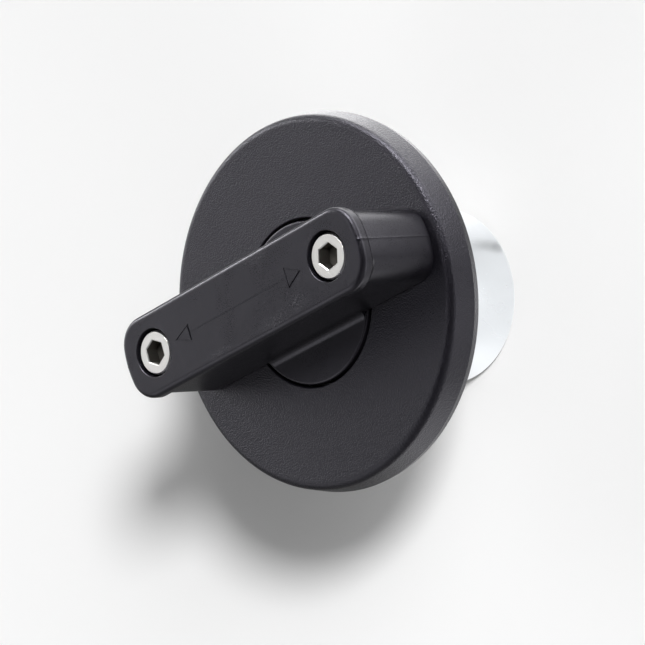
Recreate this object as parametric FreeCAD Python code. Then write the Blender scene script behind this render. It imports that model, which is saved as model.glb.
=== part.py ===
import FreeCAD, Part
import math
import os
from FreeCAD import Vector

# Vented bayonet fuel filler cap, in millimetres.
# The cap stands on the closed end of its sleeve. +Z is the axis of the cap and points out of the tank.
# +X runs along the handle. The origin is the centre of the standing face.

# Sleeve: a steel cup drawn from sheet, with a flange at its mouth and a raised panel in its end
SHEET = 1.5
SLEEVE_RADIUS = 20.65
SLEEVE_HEIGHT = 44.7
SLEEVE_END_ROUND = 2.0
FLANGE_BEYOND_SCREWS = 7.4
FLANGE_BEND = 1.0
PANEL_RADIUS = 13.6
PANEL_RISE = 3.8
PANEL_ROUND = 1.6

# Cover: a moulded dish with a tapered rim that hides the edge of the flange
COVER_DEPTH = 8.6
COVER_WALL = 3.0
RIM_WALL = 2.4
RIM_BEYOND_FLANGE = 4.46
RIM_TAPER = 1.06
COVER_FRONT_ROUND = 1.2
COVER_REAR_ROUND = 0.8
COVER_HOLE_ROUND = 0.3
SEAT_HEIGHT = 1.5
SEAT_RING_WIDTH = 2.2
LOCATING_RING_WIDTH = 1.8
LOCATING_RING_DEPTH = 3.2
FLANGE_CLEARANCE = 0.15
COVER_RIB_COUNT = 24
COVER_RIB_THICKNESS = 1.6

# Handle: a moulded blade with a lip round its top and a round base that sits in the cover's hole
HANDLE_HEIGHT = 22.4
HANDLE_END_INSET = 3.35
HANDLE_HALF_WIDTH = 8.05
HANDLE_CORNER = 5.6
END_CROWN = 20.0
END_DRAFT = 0.65
SIDE_DRAFT = 0.2
FOOT_CHAMFER = 0.35
LIP_HEIGHT = 3.0
LIP_SLOPE_HEIGHT = 0.7
LIP_SIDE_OVERHANG = 1.35
LIP_END_OVERHANG = 0.25
LIP_TOP_ROUND = 1.3
LIP_EDGE_ROUND = 0.4
BASE_BORE_CLEARANCE = 0.95
BASE_PROUD = 0.45
BASE_DEPTH = 5.0
BASE_EDGE_ROUND = 0.5
BASE_SKIN = 2.6
WALL_FILLET = 1.8
VENT_GAP = 0.9
CORE_WALL = 2.6
CORE_ROOF = 3.2
CORE_RIB = 2.0
CORE_COUNT = 4
CORE_TAPER = 0.4
CORE_CORNER = 1.2

# Screws, washers, bushes and clinch nuts that hold the handle and the cover to the flange
SCREW_BEYOND_SLEEVE = 7.95
THREAD_RADIUS = 3.0
THREAD_ENGAGED = 4.1
HEAD_RADIUS = 5.0
HEAD_HEIGHT = 6.0
HEAD_ROUND = 0.28
HEAD_SUNK = 0.5
SOCKET_FLATS = 5.0
SOCKET_DEPTH = 3.2
SCREW_TIP_CHAMFER = 0.5
COUNTERBORE_CLEARANCE = 0.5
COUNTERBORE_FLARE = 0.3
WASHER_THICKNESS = 1.6
WASHER_RADIUS = 4.9
WASHER_BORE_CLEARANCE = 0.2
WASHER_SPLIT = 0.8
WASHER_SPLIT_ANGLE = 20.0
BUSH_RADIUS = 4.5
BUSH_BORE_CLEARANCE = 0.2
CLINCH_RADIUS = 5.0
CLINCH_CHAMFER = 0.4
CLINCH_PILOT_RADIUS = 3.9
CLINCH_HOLE_CLEARANCE = 0.2
RIGHT_SOCKET_ANGLE = 9.0
LEFT_SOCKET_ANGLE = 27.0

# Rubber ring under the flange that seals on the rim of the filler neck
GASKET_THICKNESS = 3.0
GASKET_WIDTH = 2.9
GASKET_BEND_CLEARANCE = 0.1
GASKET_ROUND = 0.4

# Bayonet studs riveted through the wall of the sleeve
STUD_RADIUS = 3.0
STUD_BELOW_FLANGE = 12.0
STUD_REACH = 4.2
STUD_END_ROUND = 0.5
STUD_COLLAR_RADIUS = 4.1
STUD_COLLAR_THICKNESS = 1.2
RIVET_HEAD_RADIUS = 3.8
RIVET_HEAD_THICKNESS = 1.0

# Pressed tray in the sleeve, above the studs, that carries the foam of the dust filter
TRAY_ABOVE_RIVETS = 1.0
TRAY_SHEET = 0.8
TRAY_RIM = 4.0
TRAY_HOLE_COUNT = 8
TRAY_HOLE_RADIUS = 1.6
TRAY_HOLE_CIRCLE = 11.0
FILTER_THICKNESS = 4.4

# Valve body, clamped in the raised panel by a nut
VALVE_RADIUS = 9.0
VALVE_BORE = 7.6
VALVE_FLANGE_RADIUS = 12.0
VALVE_FLANGE_THICKNESS = 2.0
VALVE_GASKET_THICKNESS = 1.0
VALVE_FLOOR = 4.0
PORT_RADIUS = 5.2
SEAT_LIP_WIDTH = 0.8
SEAT_LIP_HEIGHT = 0.6
VALVE_NUT_FLATS = 24.0
VALVE_NUT_HEIGHT = 4.0

# Pressure valve: a sprung plate that lifts off the seat lip
PRESSURE_TRAVEL = 2.0
SEAL_THICKNESS = 1.0
SEAL_INNER_RADIUS = 4.2
SEAL_OVERLAP = 0.9
PLATE_THICKNESS = 1.6
PLATE_CLEARANCE = 0.4
PRESSURE_SPRING_LENGTH = 11.0
PRESSURE_SPRING_TURNS = 4.5
PRESSURE_WIRE_RADIUS = 0.4
CAP_THICKNESS = 3.0
CAP_HOLE_COUNT = 6
CAP_HOLE_RADIUS = 0.9
CAP_CENTRE_HOLE = 1.5
STOP_WALL = 0.9
STOP_GAP = 0.1

# Vacuum valve: a small poppet that hangs in the pressure plate
VACUUM_TRAVEL = 1.5
STEM_RADIUS = 0.9
GUIDE_CLEARANCE = 0.3
GUIDE_WALL = 0.7
POPPET_RADIUS = 3.6
POPPET_THICKNESS = 1.0
VACUUM_SEAL_THICKNESS = 0.8
VACUUM_SEAL_MARGIN = 0.1
AIR_HOLE_COUNT = 4
AIR_HOLE_RADIUS = 0.45
VACUUM_SPRING_LENGTH = 4.6
VACUUM_SPRING_TURNS = 4.0
VACUUM_WIRE_RADIUS = 0.2
VACUUM_SPRING_CLEARANCE = 0.3
CLIP_RADIUS = 3.0
CLIP_THICKNESS = 0.6
CLIP_CLEARANCE = 0.5
STEM_ABOVE_CLIP = 0.6

# Radii and lengths that follow, from the sleeve outwards
SLEEVE_BORE = SLEEVE_RADIUS - SHEET
SCREW_OFFSET = SLEEVE_RADIUS + SCREW_BEYOND_SLEEVE
FLANGE_RADIUS = SCREW_OFFSET + FLANGE_BEYOND_SCREWS
RIM_INNER_RADIUS = FLANGE_RADIUS + RIM_BEYOND_FLANGE
COVER_REAR_RADIUS = RIM_INNER_RADIUS + RIM_WALL
COVER_FRONT_RADIUS = COVER_REAR_RADIUS - RIM_TAPER
HANDLE_HALF_LENGTH = COVER_FRONT_RADIUS - HANDLE_END_INSET
BASE_RADIUS = SLEEVE_BORE - BASE_BORE_CLEARANCE
COVER_HOLE_RADIUS = BASE_RADIUS + VENT_GAP
SEAT_RING_RADIUS = SLEEVE_RADIUS + FLANGE_BEND + GASKET_BEND_CLEARANCE
COUNTERBORE_RADIUS = HEAD_RADIUS + COUNTERBORE_CLEARANCE
STOP_INNER = CLIP_RADIUS + CLIP_CLEARANCE
STOP_OUTER = STOP_INNER + STOP_WALL

# Heights that follow, from the standing face upwards
FLANGE_REAR = SLEEVE_HEIGHT - SHEET
STUD_HEIGHT = FLANGE_REAR - STUD_BELOW_FLANGE
TRAY_FLOOR = STUD_HEIGHT + RIVET_HEAD_RADIUS + TRAY_ABOVE_RIVETS
COVER_FACE = SLEEVE_HEIGHT + SEAT_HEIGHT + COVER_WALL
COVER_REAR = COVER_FACE - COVER_DEPTH
HANDLE_TOP = COVER_FACE + HANDLE_HEIGHT
LIP_BOTTOM = HANDLE_TOP - LIP_HEIGHT
HEAD_TOP = HANDLE_TOP - HEAD_SUNK
HEAD_UNDERSIDE = HEAD_TOP - HEAD_HEIGHT
SCREW_TIP = COVER_FACE - THREAD_ENGAGED
COUNTERBORE_FLOOR = HEAD_UNDERSIDE - WASHER_THICKNESS
PANEL_TOP = PANEL_RISE + SHEET
VALVE_FLANGE_TOP = PANEL_RISE - VALVE_GASKET_THICKNESS
VALVE_BOTTOM = VALVE_FLANGE_TOP - VALVE_FLANGE_THICKNESS
CHAMBER_FLOOR = VALVE_BOTTOM + VALVE_FLOOR
PRESSURE_SEAT = CHAMBER_FLOOR + SEAT_LIP_HEIGHT
PLATE_BOTTOM = PRESSURE_SEAT + SEAL_THICKNESS
PLATE_TOP = PLATE_BOTTOM + PLATE_THICKNESS
CAP_BOTTOM = PLATE_TOP + PRESSURE_SPRING_LENGTH
VALVE_TOP = CAP_BOTTOM + CAP_THICKNESS
CLIP_BOTTOM = PLATE_TOP + VACUUM_SPRING_LENGTH


def rounded_wire(corners, to_point):
    """Closed wire through (u, v, radius) corners; each corner is rounded by its own radius."""
    count = len(corners)
    arcs = []
    for index, (u, v, radius) in enumerate(corners):
        before = corners[index - 1]
        after = corners[(index + 1) % count]
        back = Vector(before[0] - u, before[1] - v, 0).normalize()
        ahead = Vector(after[0] - u, after[1] - v, 0).normalize()
        corner = Vector(u, v, 0)
        if radius == 0:
            arcs.append((corner, None, corner))
            continue
        half_angle = back.getAngle(ahead) / 2
        inward = (back + ahead).normalize()
        reach = radius / math.tan(half_angle)
        middle = corner + inward * (radius / math.sin(half_angle) - radius)
        arcs.append((corner + back * reach, middle, corner + ahead * reach))
    edges = []
    for index, (start, middle, end) in enumerate(arcs):
        if middle is not None:
            points = [to_point(p.x, p.y) for p in (start, middle, end)]
            edges.append(Part.Arc(*points).toShape())
        following = arcs[(index + 1) % count][0]
        if (following - end).Length > 1e-6:
            edges.append(Part.makeLine(to_point(end.x, end.y), to_point(following.x, following.y)))
    return Part.Wire(edges)


def lathe(*corners):
    """Solid of revolution about Z from (radius, height) corners, with an optional rounding each."""
    profile = [(corner + (0,))[:3] for corner in corners]
    wire = rounded_wire(profile, lambda r, z: Vector(r, 0, z))
    return Part.Face(wire).revolve(Vector(0, 0, 0), Vector(0, 0, 1), 360)


def prism(outline, height):
    """Plan outline at a set height, pushed up by height."""
    return Part.Face(outline).extrude(Vector(0, 0, height))


def cylinder(radius, low, high, x=0.0, y=0.0):
    """Upright cylinder between two heights."""
    return Part.makeCylinder(radius, high - low, Vector(x, y, low))


def ring(inner, outer, low, high):
    """Plain ring about Z between two heights."""
    return lathe((inner, low), (outer, low), (outer, high), (inner, high))


def centred_box(length, width, low, high):
    """Box centred on the Z axis between two heights."""
    return Part.makeBox(length, width, high - low, Vector(-length / 2, -width / 2, low))


def hexagon(across_flats, low, high, turn=0.0):
    """Hexagonal prism about Z, with a corner at the angle turn."""
    corner_radius = across_flats / math.sqrt(3)
    angles = [math.radians(turn + 60 * step) for step in range(6)]
    corners = [Vector(corner_radius * math.cos(a), corner_radius * math.sin(a), low) for a in angles]
    return prism(Part.makePolygon(corners + corners[:1]), high - low)


def spread(shape, count, start=0.0):
    """Copies of a shape turned evenly about Z."""
    copies = []
    for step in range(count):
        copy = shape.copy()
        copy.rotate(Vector(0, 0, 0), Vector(0, 0, 1), start + 360 * step / count)
        copies.append(copy)
    return copies


def at_screw(shape, side):
    """A copy of a shape made on the Z axis, moved to the screw on side -1 or +1."""
    return shape.translated(Vector(side * SCREW_OFFSET, 0, 0))


def spring(mean_radius, wire_radius, low, high, turns):
    """Round wire on a helix, with both ends ground flat."""
    pitch = (high - low) / turns
    helix = Part.makeHelix(pitch, high - low, mean_radius)
    rise = math.atan2(pitch, 2 * math.pi * mean_radius)
    along = Vector(0, math.cos(rise), math.sin(rise))
    section = Part.Wire(Part.makeCircle(wire_radius, Vector(mean_radius, 0, 0), along))
    coil = Part.Wire(helix).makePipeShell([section], True, True)
    coil.translate(Vector(0, 0, low))
    return coil.common(cylinder(mean_radius + 3 * wire_radius, low, high))


def blade_outline(half_length, half_width, corner, height):
    """Plan of the handle: straight sides, round corners and slightly crowned ends, all tangent."""
    crown_centre = half_length - END_CROWN
    corner_y = half_width - corner
    corner_x = crown_centre + math.sqrt((END_CROWN - corner) ** 2 - corner_y ** 2)
    toward_x = (corner_x - crown_centre) / (END_CROWN - corner)
    toward_y = corner_y / (END_CROWN - corner)
    meet = (crown_centre + END_CROWN * toward_x, END_CROWN * toward_y)
    half_turn = (math.atan2(toward_y, toward_x) + math.pi / 2) / 2
    bend = (corner_x + corner * math.cos(half_turn), corner_y + corner * math.sin(half_turn))
    side = (corner_x, half_width)
    end = (half_length, 0.0)

    def point(pair, sx, sy):
        return Vector(sx * pair[0], sy * pair[1], height)

    edges = [
        Part.makeLine(point(side, -1, 1), point(side, 1, 1)),
        Part.Arc(point(side, 1, 1), point(bend, 1, 1), point(meet, 1, 1)).toShape(),
        Part.Arc(point(meet, 1, 1), point(end, 1, 1), point(meet, 1, -1)).toShape(),
        Part.Arc(point(meet, 1, -1), point(bend, 1, -1), point(side, 1, -1)).toShape(),
        Part.makeLine(point(side, 1, -1), point(side, -1, -1)),
        Part.Arc(point(side, -1, -1), point(bend, -1, -1), point(meet, -1, -1)).toShape(),
        Part.Arc(point(meet, -1, -1), point(end, -1, 1), point(meet, -1, 1)).toShape(),
        Part.Arc(point(meet, -1, 1), point(bend, -1, 1), point(side, -1, 1)).toShape(),
    ]
    return Part.Wire(edges)


def edges_at(shape, height):
    """Edges that lie flat at one height."""
    boxes = [(edge, edge.BoundBox) for edge in shape.Edges]
    return [e for e, box in boxes if abs(box.ZMin - height) < 1e-4 and abs(box.ZMax - height) < 1e-4]


def handle_wall():
    """Drafted wall of the blade, from a chamfered foot on the cover up to the lip."""
    foot_length = HANDLE_HALF_LENGTH + END_DRAFT
    foot_width = HANDLE_HALF_WIDTH + SIDE_DRAFT
    lip_start = LIP_BOTTOM - LIP_SLOPE_HEIGHT
    chamfer_outline = blade_outline(
        foot_length - FOOT_CHAMFER, foot_width - FOOT_CHAMFER, HANDLE_CORNER - FOOT_CHAMFER, COVER_FACE)
    foot_outline = blade_outline(foot_length, foot_width, HANDLE_CORNER, COVER_FACE + FOOT_CHAMFER)
    neck_outline = blade_outline(HANDLE_HALF_LENGTH, HANDLE_HALF_WIDTH, HANDLE_CORNER, lip_start)
    chamfer = Part.makeLoft([chamfer_outline, foot_outline], True, True)
    wall = Part.makeLoft([foot_outline, neck_outline], True, True)
    return chamfer.fuse(wall)


def handle_lip():
    """Lip that overhangs the wall along the sides, with a soft top edge."""
    lip_start = LIP_BOTTOM - LIP_SLOPE_HEIGHT
    neck_outline = blade_outline(HANDLE_HALF_LENGTH, HANDLE_HALF_WIDTH, HANDLE_CORNER, lip_start)
    lip_outline = blade_outline(
        HANDLE_HALF_LENGTH + LIP_END_OVERHANG,
        HANDLE_HALF_WIDTH + LIP_SIDE_OVERHANG,
        HANDLE_CORNER + LIP_SIDE_OVERHANG,
        LIP_BOTTOM)
    slope = Part.makeLoft([neck_outline, lip_outline], True, True)
    lip = prism(lip_outline, LIP_HEIGHT)
    lip = lip.makeFillet(LIP_TOP_ROUND, edges_at(lip, HANDLE_TOP))
    lip = slope.fuse(lip)
    return lip.makeFillet(LIP_EDGE_ROUND, edges_at(lip, LIP_BOTTOM))


def base_fillets():
    """Concave fillets where the wall of the blade runs down into the round base."""
    base_top = COVER_FACE + BASE_PROUD
    wall = HANDLE_HALF_WIDTH + SIDE_DRAFT
    reach = BASE_RADIUS - BASE_EDGE_ROUND
    low = Vector(-reach, wall + WALL_FILLET, base_top)
    high = Vector(-reach, wall, base_top + WALL_FILLET)
    root = Vector(-reach, wall, base_top)
    inside = WALL_FILLET * (1 - math.sqrt(0.5))
    middle = root + Vector(0, inside, inside)
    buried = Vector(-reach, wall - WALL_FILLET, base_top - BASE_SKIN / 2)
    outline = Part.Wire([
        Part.Arc(low, middle, high).toShape(),
        Part.makeLine(high, Vector(-reach, buried.y, high.z)),
        Part.makeLine(Vector(-reach, buried.y, high.z), buried),
        Part.makeLine(buried, Vector(-reach, low.y, buried.z)),
        Part.makeLine(Vector(-reach, low.y, buried.z), low),
    ])
    fillet = Part.Face(outline).extrude(Vector(2 * reach, 0, 0))
    fillet = fillet.common(cylinder(reach, buried.z, high.z))
    return [fillet, fillet.mirror(Vector(0, 0, 0), Vector(0, 1, 0))]


def handle_cores():
    """Pockets moulded up into the blade and into the round base, open at the bottom."""
    half_span = SCREW_OFFSET - BUSH_RADIUS - CORE_WALL
    length = (2 * half_span - (CORE_COUNT - 1) * CORE_RIB) / CORE_COUNT
    bottom = COVER_FACE - BASE_DEPTH
    top = HANDLE_TOP - CORE_ROOF
    width = HANDLE_HALF_WIDTH - CORE_WALL
    cores = []
    for index in range(CORE_COUNT):
        middle = -half_span + length / 2 + index * (length + CORE_RIB)
        outlines = []
        for height, inset in ((bottom, 0.0), (top, CORE_TAPER)):
            x = length / 2 - inset
            y = width - inset
            corners = [(middle + x, y), (middle - x, y), (middle - x, -y), (middle + x, -y)]
            rounded = [(u, v, CORE_CORNER) for u, v in corners]
            outlines.append(rounded_wire(rounded, lambda u, v, z=height: Vector(u, v, z)))
        cores.append(Part.makeLoft(outlines, True, True))
    base_core = cylinder(BASE_RADIUS - CORE_WALL, bottom, COVER_FACE + BASE_PROUD - BASE_SKIN)
    keep = centred_box(2 * BASE_RADIUS, 2 * HANDLE_HALF_WIDTH, bottom, COVER_FACE)
    cores.append(base_core.cut(keep))
    return cores


def make_handle():
    """Whole moulded handle with its counterbores and the holes for the bushes."""
    base = lathe(
        (0, COVER_FACE - BASE_DEPTH),
        (BASE_RADIUS, COVER_FACE - BASE_DEPTH),
        (BASE_RADIUS, COVER_FACE + BASE_PROUD, BASE_EDGE_ROUND),
        (0, COVER_FACE + BASE_PROUD))
    handle = handle_wall().fuse([handle_lip(), base] + base_fillets()).removeSplitter()
    counterbore = lathe(
        (0, COUNTERBORE_FLOOR),
        (COUNTERBORE_RADIUS, COUNTERBORE_FLOOR),
        (COUNTERBORE_RADIUS, HANDLE_TOP - COUNTERBORE_FLARE),
        (COUNTERBORE_RADIUS + COUNTERBORE_FLARE, HANDLE_TOP),
        (0, HANDLE_TOP))
    bush_hole = cylinder(BUSH_RADIUS, COVER_FACE, COUNTERBORE_FLOOR)
    cuts = handle_cores()
    for side in (-1, 1):
        cuts.append(at_screw(counterbore, side))
        cuts.append(at_screw(bush_hole, side))
    return handle.cut(cuts)


def make_screw(side):
    """Socket head cap screw; the thread is plain at its outer radius."""
    body = lathe(
        (0, SCREW_TIP),
        (THREAD_RADIUS - SCREW_TIP_CHAMFER, SCREW_TIP),
        (THREAD_RADIUS, SCREW_TIP + SCREW_TIP_CHAMFER),
        (THREAD_RADIUS, HEAD_UNDERSIDE),
        (HEAD_RADIUS, HEAD_UNDERSIDE),
        (HEAD_RADIUS, HEAD_TOP, HEAD_ROUND),
        (0, HEAD_TOP))
    turn = RIGHT_SOCKET_ANGLE if side > 0 else LEFT_SOCKET_ANGLE
    socket = hexagon(SOCKET_FLATS, HEAD_TOP - SOCKET_DEPTH, HEAD_TOP, turn)
    drill_radius = SOCKET_FLATS / 2
    drill_depth = drill_radius * math.tan(math.radians(30))
    drill = Part.makeCone(0, drill_radius, drill_depth, Vector(0, 0, HEAD_TOP - SOCKET_DEPTH - drill_depth))
    return at_screw(body.cut([socket, drill]), side)


def make_washer(side):
    """Split spring washer under the screw head, shown flattened."""
    washer = ring(THREAD_RADIUS + WASHER_BORE_CLEARANCE, WASHER_RADIUS, COUNTERBORE_FLOOR, HEAD_UNDERSIDE)
    slot = Part.makeBox(WASHER_RADIUS, WASHER_SPLIT, 3 * WASHER_THICKNESS,
                        Vector(0, -WASHER_SPLIT / 2, -1.5 * WASHER_THICKNESS))
    slot.rotate(Vector(0, 0, 0), Vector(1, 0, 0), WASHER_SPLIT_ANGLE)
    slot.translate(Vector(THREAD_RADIUS / 2, 0, (COUNTERBORE_FLOOR + HEAD_UNDERSIDE) / 2))
    return at_screw(washer.cut(slot), side)


def make_bush(side):
    """Steel bush that carries the clamping force through the plastic handle."""
    return at_screw(ring(THREAD_RADIUS + BUSH_BORE_CLEARANCE, BUSH_RADIUS, COVER_FACE, COUNTERBORE_FLOOR), side)


def make_clinch_nut(side):
    """Threaded insert pressed into the flange; it ends flush with the face of the cover."""
    nut = lathe(
        (THREAD_RADIUS, FLANGE_REAR),
        (CLINCH_PILOT_RADIUS, FLANGE_REAR),
        (CLINCH_PILOT_RADIUS, SLEEVE_HEIGHT),
        (CLINCH_RADIUS, SLEEVE_HEIGHT),
        (CLINCH_RADIUS, COVER_FACE - CLINCH_CHAMFER),
        (CLINCH_RADIUS - CLINCH_CHAMFER, COVER_FACE),
        (THREAD_RADIUS, COVER_FACE))
    return at_screw(nut, side)


def make_cover():
    """Moulded dish with a seat for the flange, a ring that centres it and ribs behind the rim."""
    wall_back = COVER_FACE - COVER_WALL
    taper = RIM_TAPER / COVER_DEPTH
    rim_inner_front = RIM_INNER_RADIUS - taper * (wall_back - COVER_REAR)
    dish = lathe(
        (COVER_HOLE_RADIUS, wall_back),
        (COVER_HOLE_RADIUS, COVER_FACE, COVER_HOLE_ROUND),
        (COVER_FRONT_RADIUS, COVER_FACE, COVER_FRONT_ROUND),
        (COVER_REAR_RADIUS, COVER_REAR, COVER_REAR_ROUND),
        (RIM_INNER_RADIUS, COVER_REAR),
        (rim_inner_front, wall_back))
    seat_ring = ring(SEAT_RING_RADIUS, SEAT_RING_RADIUS + SEAT_RING_WIDTH, SLEEVE_HEIGHT, wall_back)
    ring_inner = FLANGE_RADIUS + FLANGE_CLEARANCE
    ring_outer = ring_inner + LOCATING_RING_WIDTH
    locating_ring = ring(ring_inner, ring_outer, wall_back - LOCATING_RING_DEPTH, wall_back)
    pad_length = ring_outer - SEAT_RING_RADIUS - SEAT_RING_WIDTH / 2
    pad_start = SEAT_RING_RADIUS + SEAT_RING_WIDTH / 2
    pad = Part.makeBox(pad_length, COVER_RIB_THICKNESS, SEAT_HEIGHT,
                       Vector(pad_start, -COVER_RIB_THICKNESS / 2, SLEEVE_HEIGHT))
    gusset_start = ring_outer - LOCATING_RING_WIDTH / 2
    gusset_length = rim_inner_front + RIM_WALL / 2 - gusset_start
    gusset = Part.makeBox(gusset_length, COVER_RIB_THICKNESS, LOCATING_RING_DEPTH,
                          Vector(gusset_start, -COVER_RIB_THICKNESS / 2, wall_back - LOCATING_RING_DEPTH))
    ribs = spread(pad, COVER_RIB_COUNT // 2) + spread(gusset, COVER_RIB_COUNT)
    hole = cylinder(CLINCH_RADIUS + CLINCH_HOLE_CLEARANCE, SLEEVE_HEIGHT, COVER_FACE)
    cover = dish.fuse([seat_ring, locating_ring] + ribs).removeSplitter()
    return cover.cut([at_screw(hole, -1), at_screw(hole, 1)])


def make_sleeve():
    """Drawn cup with a flange; the middle of its end is raised so that the valve clears the ground."""
    inner_round = SLEEVE_END_ROUND - SHEET
    inner_panel_round = max(PANEL_ROUND - SHEET, 0)
    cup = lathe(
        (VALVE_RADIUS, PANEL_RISE),
        (PANEL_RADIUS, PANEL_RISE, inner_panel_round),
        (PANEL_RADIUS, 0, PANEL_ROUND),
        (SLEEVE_RADIUS, 0, SLEEVE_END_ROUND),
        (SLEEVE_RADIUS, FLANGE_REAR, FLANGE_BEND),
        (FLANGE_RADIUS, FLANGE_REAR),
        (FLANGE_RADIUS, SLEEVE_HEIGHT),
        (SLEEVE_BORE, SLEEVE_HEIGHT, FLANGE_BEND + SHEET),
        (SLEEVE_BORE, SHEET, inner_round),
        (PANEL_RADIUS + SHEET, SHEET, inner_panel_round),
        (PANEL_RADIUS + SHEET, PANEL_TOP, PANEL_ROUND),
        (VALVE_RADIUS, PANEL_TOP))
    pilot_hole = cylinder(CLINCH_PILOT_RADIUS, FLANGE_REAR, SLEEVE_HEIGHT)
    stud_hole = Part.makeCylinder(
        STUD_RADIUS, 2 * SLEEVE_RADIUS, Vector(0, -SLEEVE_RADIUS, STUD_HEIGHT), Vector(0, 1, 0))
    return cup.cut([at_screw(pilot_hole, -1), at_screw(pilot_hole, 1), stud_hole])


def make_neck_gasket():
    """Flat rubber ring under the flange, clear of the bend at the root of the sleeve."""
    outer = SEAT_RING_RADIUS + GASKET_WIDTH
    low = FLANGE_REAR - GASKET_THICKNESS
    return lathe(
        (SEAT_RING_RADIUS, low, GASKET_ROUND),
        (outer, low, GASKET_ROUND),
        (outer, FLANGE_REAR),
        (SEAT_RING_RADIUS, FLANGE_REAR))


def make_stud(side):
    """Bayonet stud with a collar outside the wall and a rivet head that follows its inside."""
    tip = SLEEVE_RADIUS + STUD_REACH
    collar_end = SLEEVE_RADIUS + STUD_COLLAR_THICKNESS
    head_start = SLEEVE_BORE - RIVET_HEAD_THICKNESS
    profile = [
        (0, SLEEVE_BORE / 2, 0),
        (STUD_RADIUS, SLEEVE_BORE / 2, 0),
        (STUD_RADIUS, tip, STUD_END_ROUND),
        (0, tip, 0),
    ]
    wire = rounded_wire(profile, lambda r, y: Vector(r, y, STUD_HEIGHT))
    centre = Vector(0, 0, STUD_HEIGHT)
    outward = Vector(0, 1, 0)
    shank = Part.Face(wire).revolve(centre, outward, 360)
    collar = Part.makeCylinder(STUD_COLLAR_RADIUS, collar_end, centre, outward)
    collar = collar.cut(cylinder(SLEEVE_RADIUS, 0, FLANGE_REAR))
    head = Part.makeCylinder(RIVET_HEAD_RADIUS, SLEEVE_RADIUS, centre, outward)
    head = head.common(cylinder(SLEEVE_BORE, 0, FLANGE_REAR))
    stud = shank.fuse([collar, head])
    trim = Part.makeBox(4 * STUD_RADIUS, head_start, 4 * STUD_RADIUS,
                        Vector(-2 * STUD_RADIUS, 0, STUD_HEIGHT - 2 * STUD_RADIUS))
    stud = stud.cut(trim).removeSplitter()
    if side < 0:
        stud.rotate(Vector(0, 0, 0), Vector(0, 0, 1), 180)
    return stud


def make_filter_tray():
    """Pressed tray that grips the wall of the sleeve, with a ring of holes in its floor."""
    inner = SLEEVE_BORE - TRAY_SHEET
    tray = lathe(
        (0, TRAY_FLOOR),
        (SLEEVE_BORE, TRAY_FLOOR, TRAY_SHEET),
        (SLEEVE_BORE, TRAY_FLOOR + TRAY_RIM),
        (inner, TRAY_FLOOR + TRAY_RIM),
        (inner, TRAY_FLOOR + TRAY_SHEET),
        (0, TRAY_FLOOR + TRAY_SHEET))
    hole = cylinder(TRAY_HOLE_RADIUS, TRAY_FLOOR, TRAY_FLOOR + TRAY_SHEET, x=TRAY_HOLE_CIRCLE)
    return tray.cut(spread(hole, TRAY_HOLE_COUNT))


def make_dust_filter():
    """Foam disc that lies in the tray."""
    low = TRAY_FLOOR + TRAY_SHEET
    return cylinder(SLEEVE_BORE - TRAY_SHEET, low, low + FILTER_THICKNESS)


def make_valve_housing():
    """Valve body: a flange below the panel, a port, a seat lip and a chamber for the valve."""
    lip_outer = PORT_RADIUS + SEAT_LIP_WIDTH
    return lathe(
        (PORT_RADIUS, VALVE_BOTTOM),
        (VALVE_FLANGE_RADIUS, VALVE_BOTTOM),
        (VALVE_FLANGE_RADIUS, VALVE_FLANGE_TOP),
        (VALVE_RADIUS, VALVE_FLANGE_TOP),
        (VALVE_RADIUS, VALVE_TOP),
        (VALVE_BORE, VALVE_TOP),
        (VALVE_BORE, CHAMBER_FLOOR),
        (lip_outer, CHAMBER_FLOOR),
        (lip_outer, PRESSURE_SEAT),
        (PORT_RADIUS, PRESSURE_SEAT))


def make_valve_gasket():
    """Flat gasket between the flange of the valve body and the panel."""
    return ring(VALVE_RADIUS, VALVE_FLANGE_RADIUS, VALVE_FLANGE_TOP, PANEL_RISE)


def make_valve_nut():
    """Hexagon nut that clamps the valve body from inside the sleeve."""
    blank = hexagon(VALVE_NUT_FLATS, PANEL_TOP, PANEL_TOP + VALVE_NUT_HEIGHT)
    return blank.cut(cylinder(VALVE_RADIUS, PANEL_TOP, PANEL_TOP + VALVE_NUT_HEIGHT))


def guide_bore():
    return STEM_RADIUS + GUIDE_CLEARANCE


def guide_outer():
    return guide_bore() + GUIDE_WALL


def air_hole_circle():
    """Radius on which the air holes stand, just outside the guide."""
    return guide_outer() + AIR_HOLE_RADIUS + VACUUM_SEAL_MARGIN


def make_pressure_plate():
    """Plate with a guide for the poppet's stem and air holes that the vacuum seal covers."""
    guide_top = CLIP_BOTTOM - VACUUM_TRAVEL - STOP_GAP
    plate = lathe(
        (guide_bore(), PLATE_BOTTOM),
        (VALVE_BORE - PLATE_CLEARANCE, PLATE_BOTTOM),
        (VALVE_BORE - PLATE_CLEARANCE, PLATE_TOP),
        (guide_outer(), PLATE_TOP),
        (guide_outer(), guide_top),
        (guide_bore(), guide_top))
    air_hole = cylinder(AIR_HOLE_RADIUS, PLATE_BOTTOM, PLATE_TOP, x=air_hole_circle())
    return plate.cut(spread(air_hole, AIR_HOLE_COUNT, 45))


def make_pressure_seal():
    """Rubber ring under the plate that closes on the seat lip."""
    return ring(SEAL_INNER_RADIUS, PORT_RADIUS + SEAT_LIP_WIDTH + SEAL_OVERLAP, PRESSURE_SEAT, PLATE_BOTTOM)


def make_pressure_spring():
    """Spring between the plate and the spring cap, midway between the stop tube and the bore."""
    return spring((STOP_OUTER + VALVE_BORE) / 2, PRESSURE_WIRE_RADIUS, PLATE_TOP, CAP_BOTTOM, PRESSURE_SPRING_TURNS)


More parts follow.
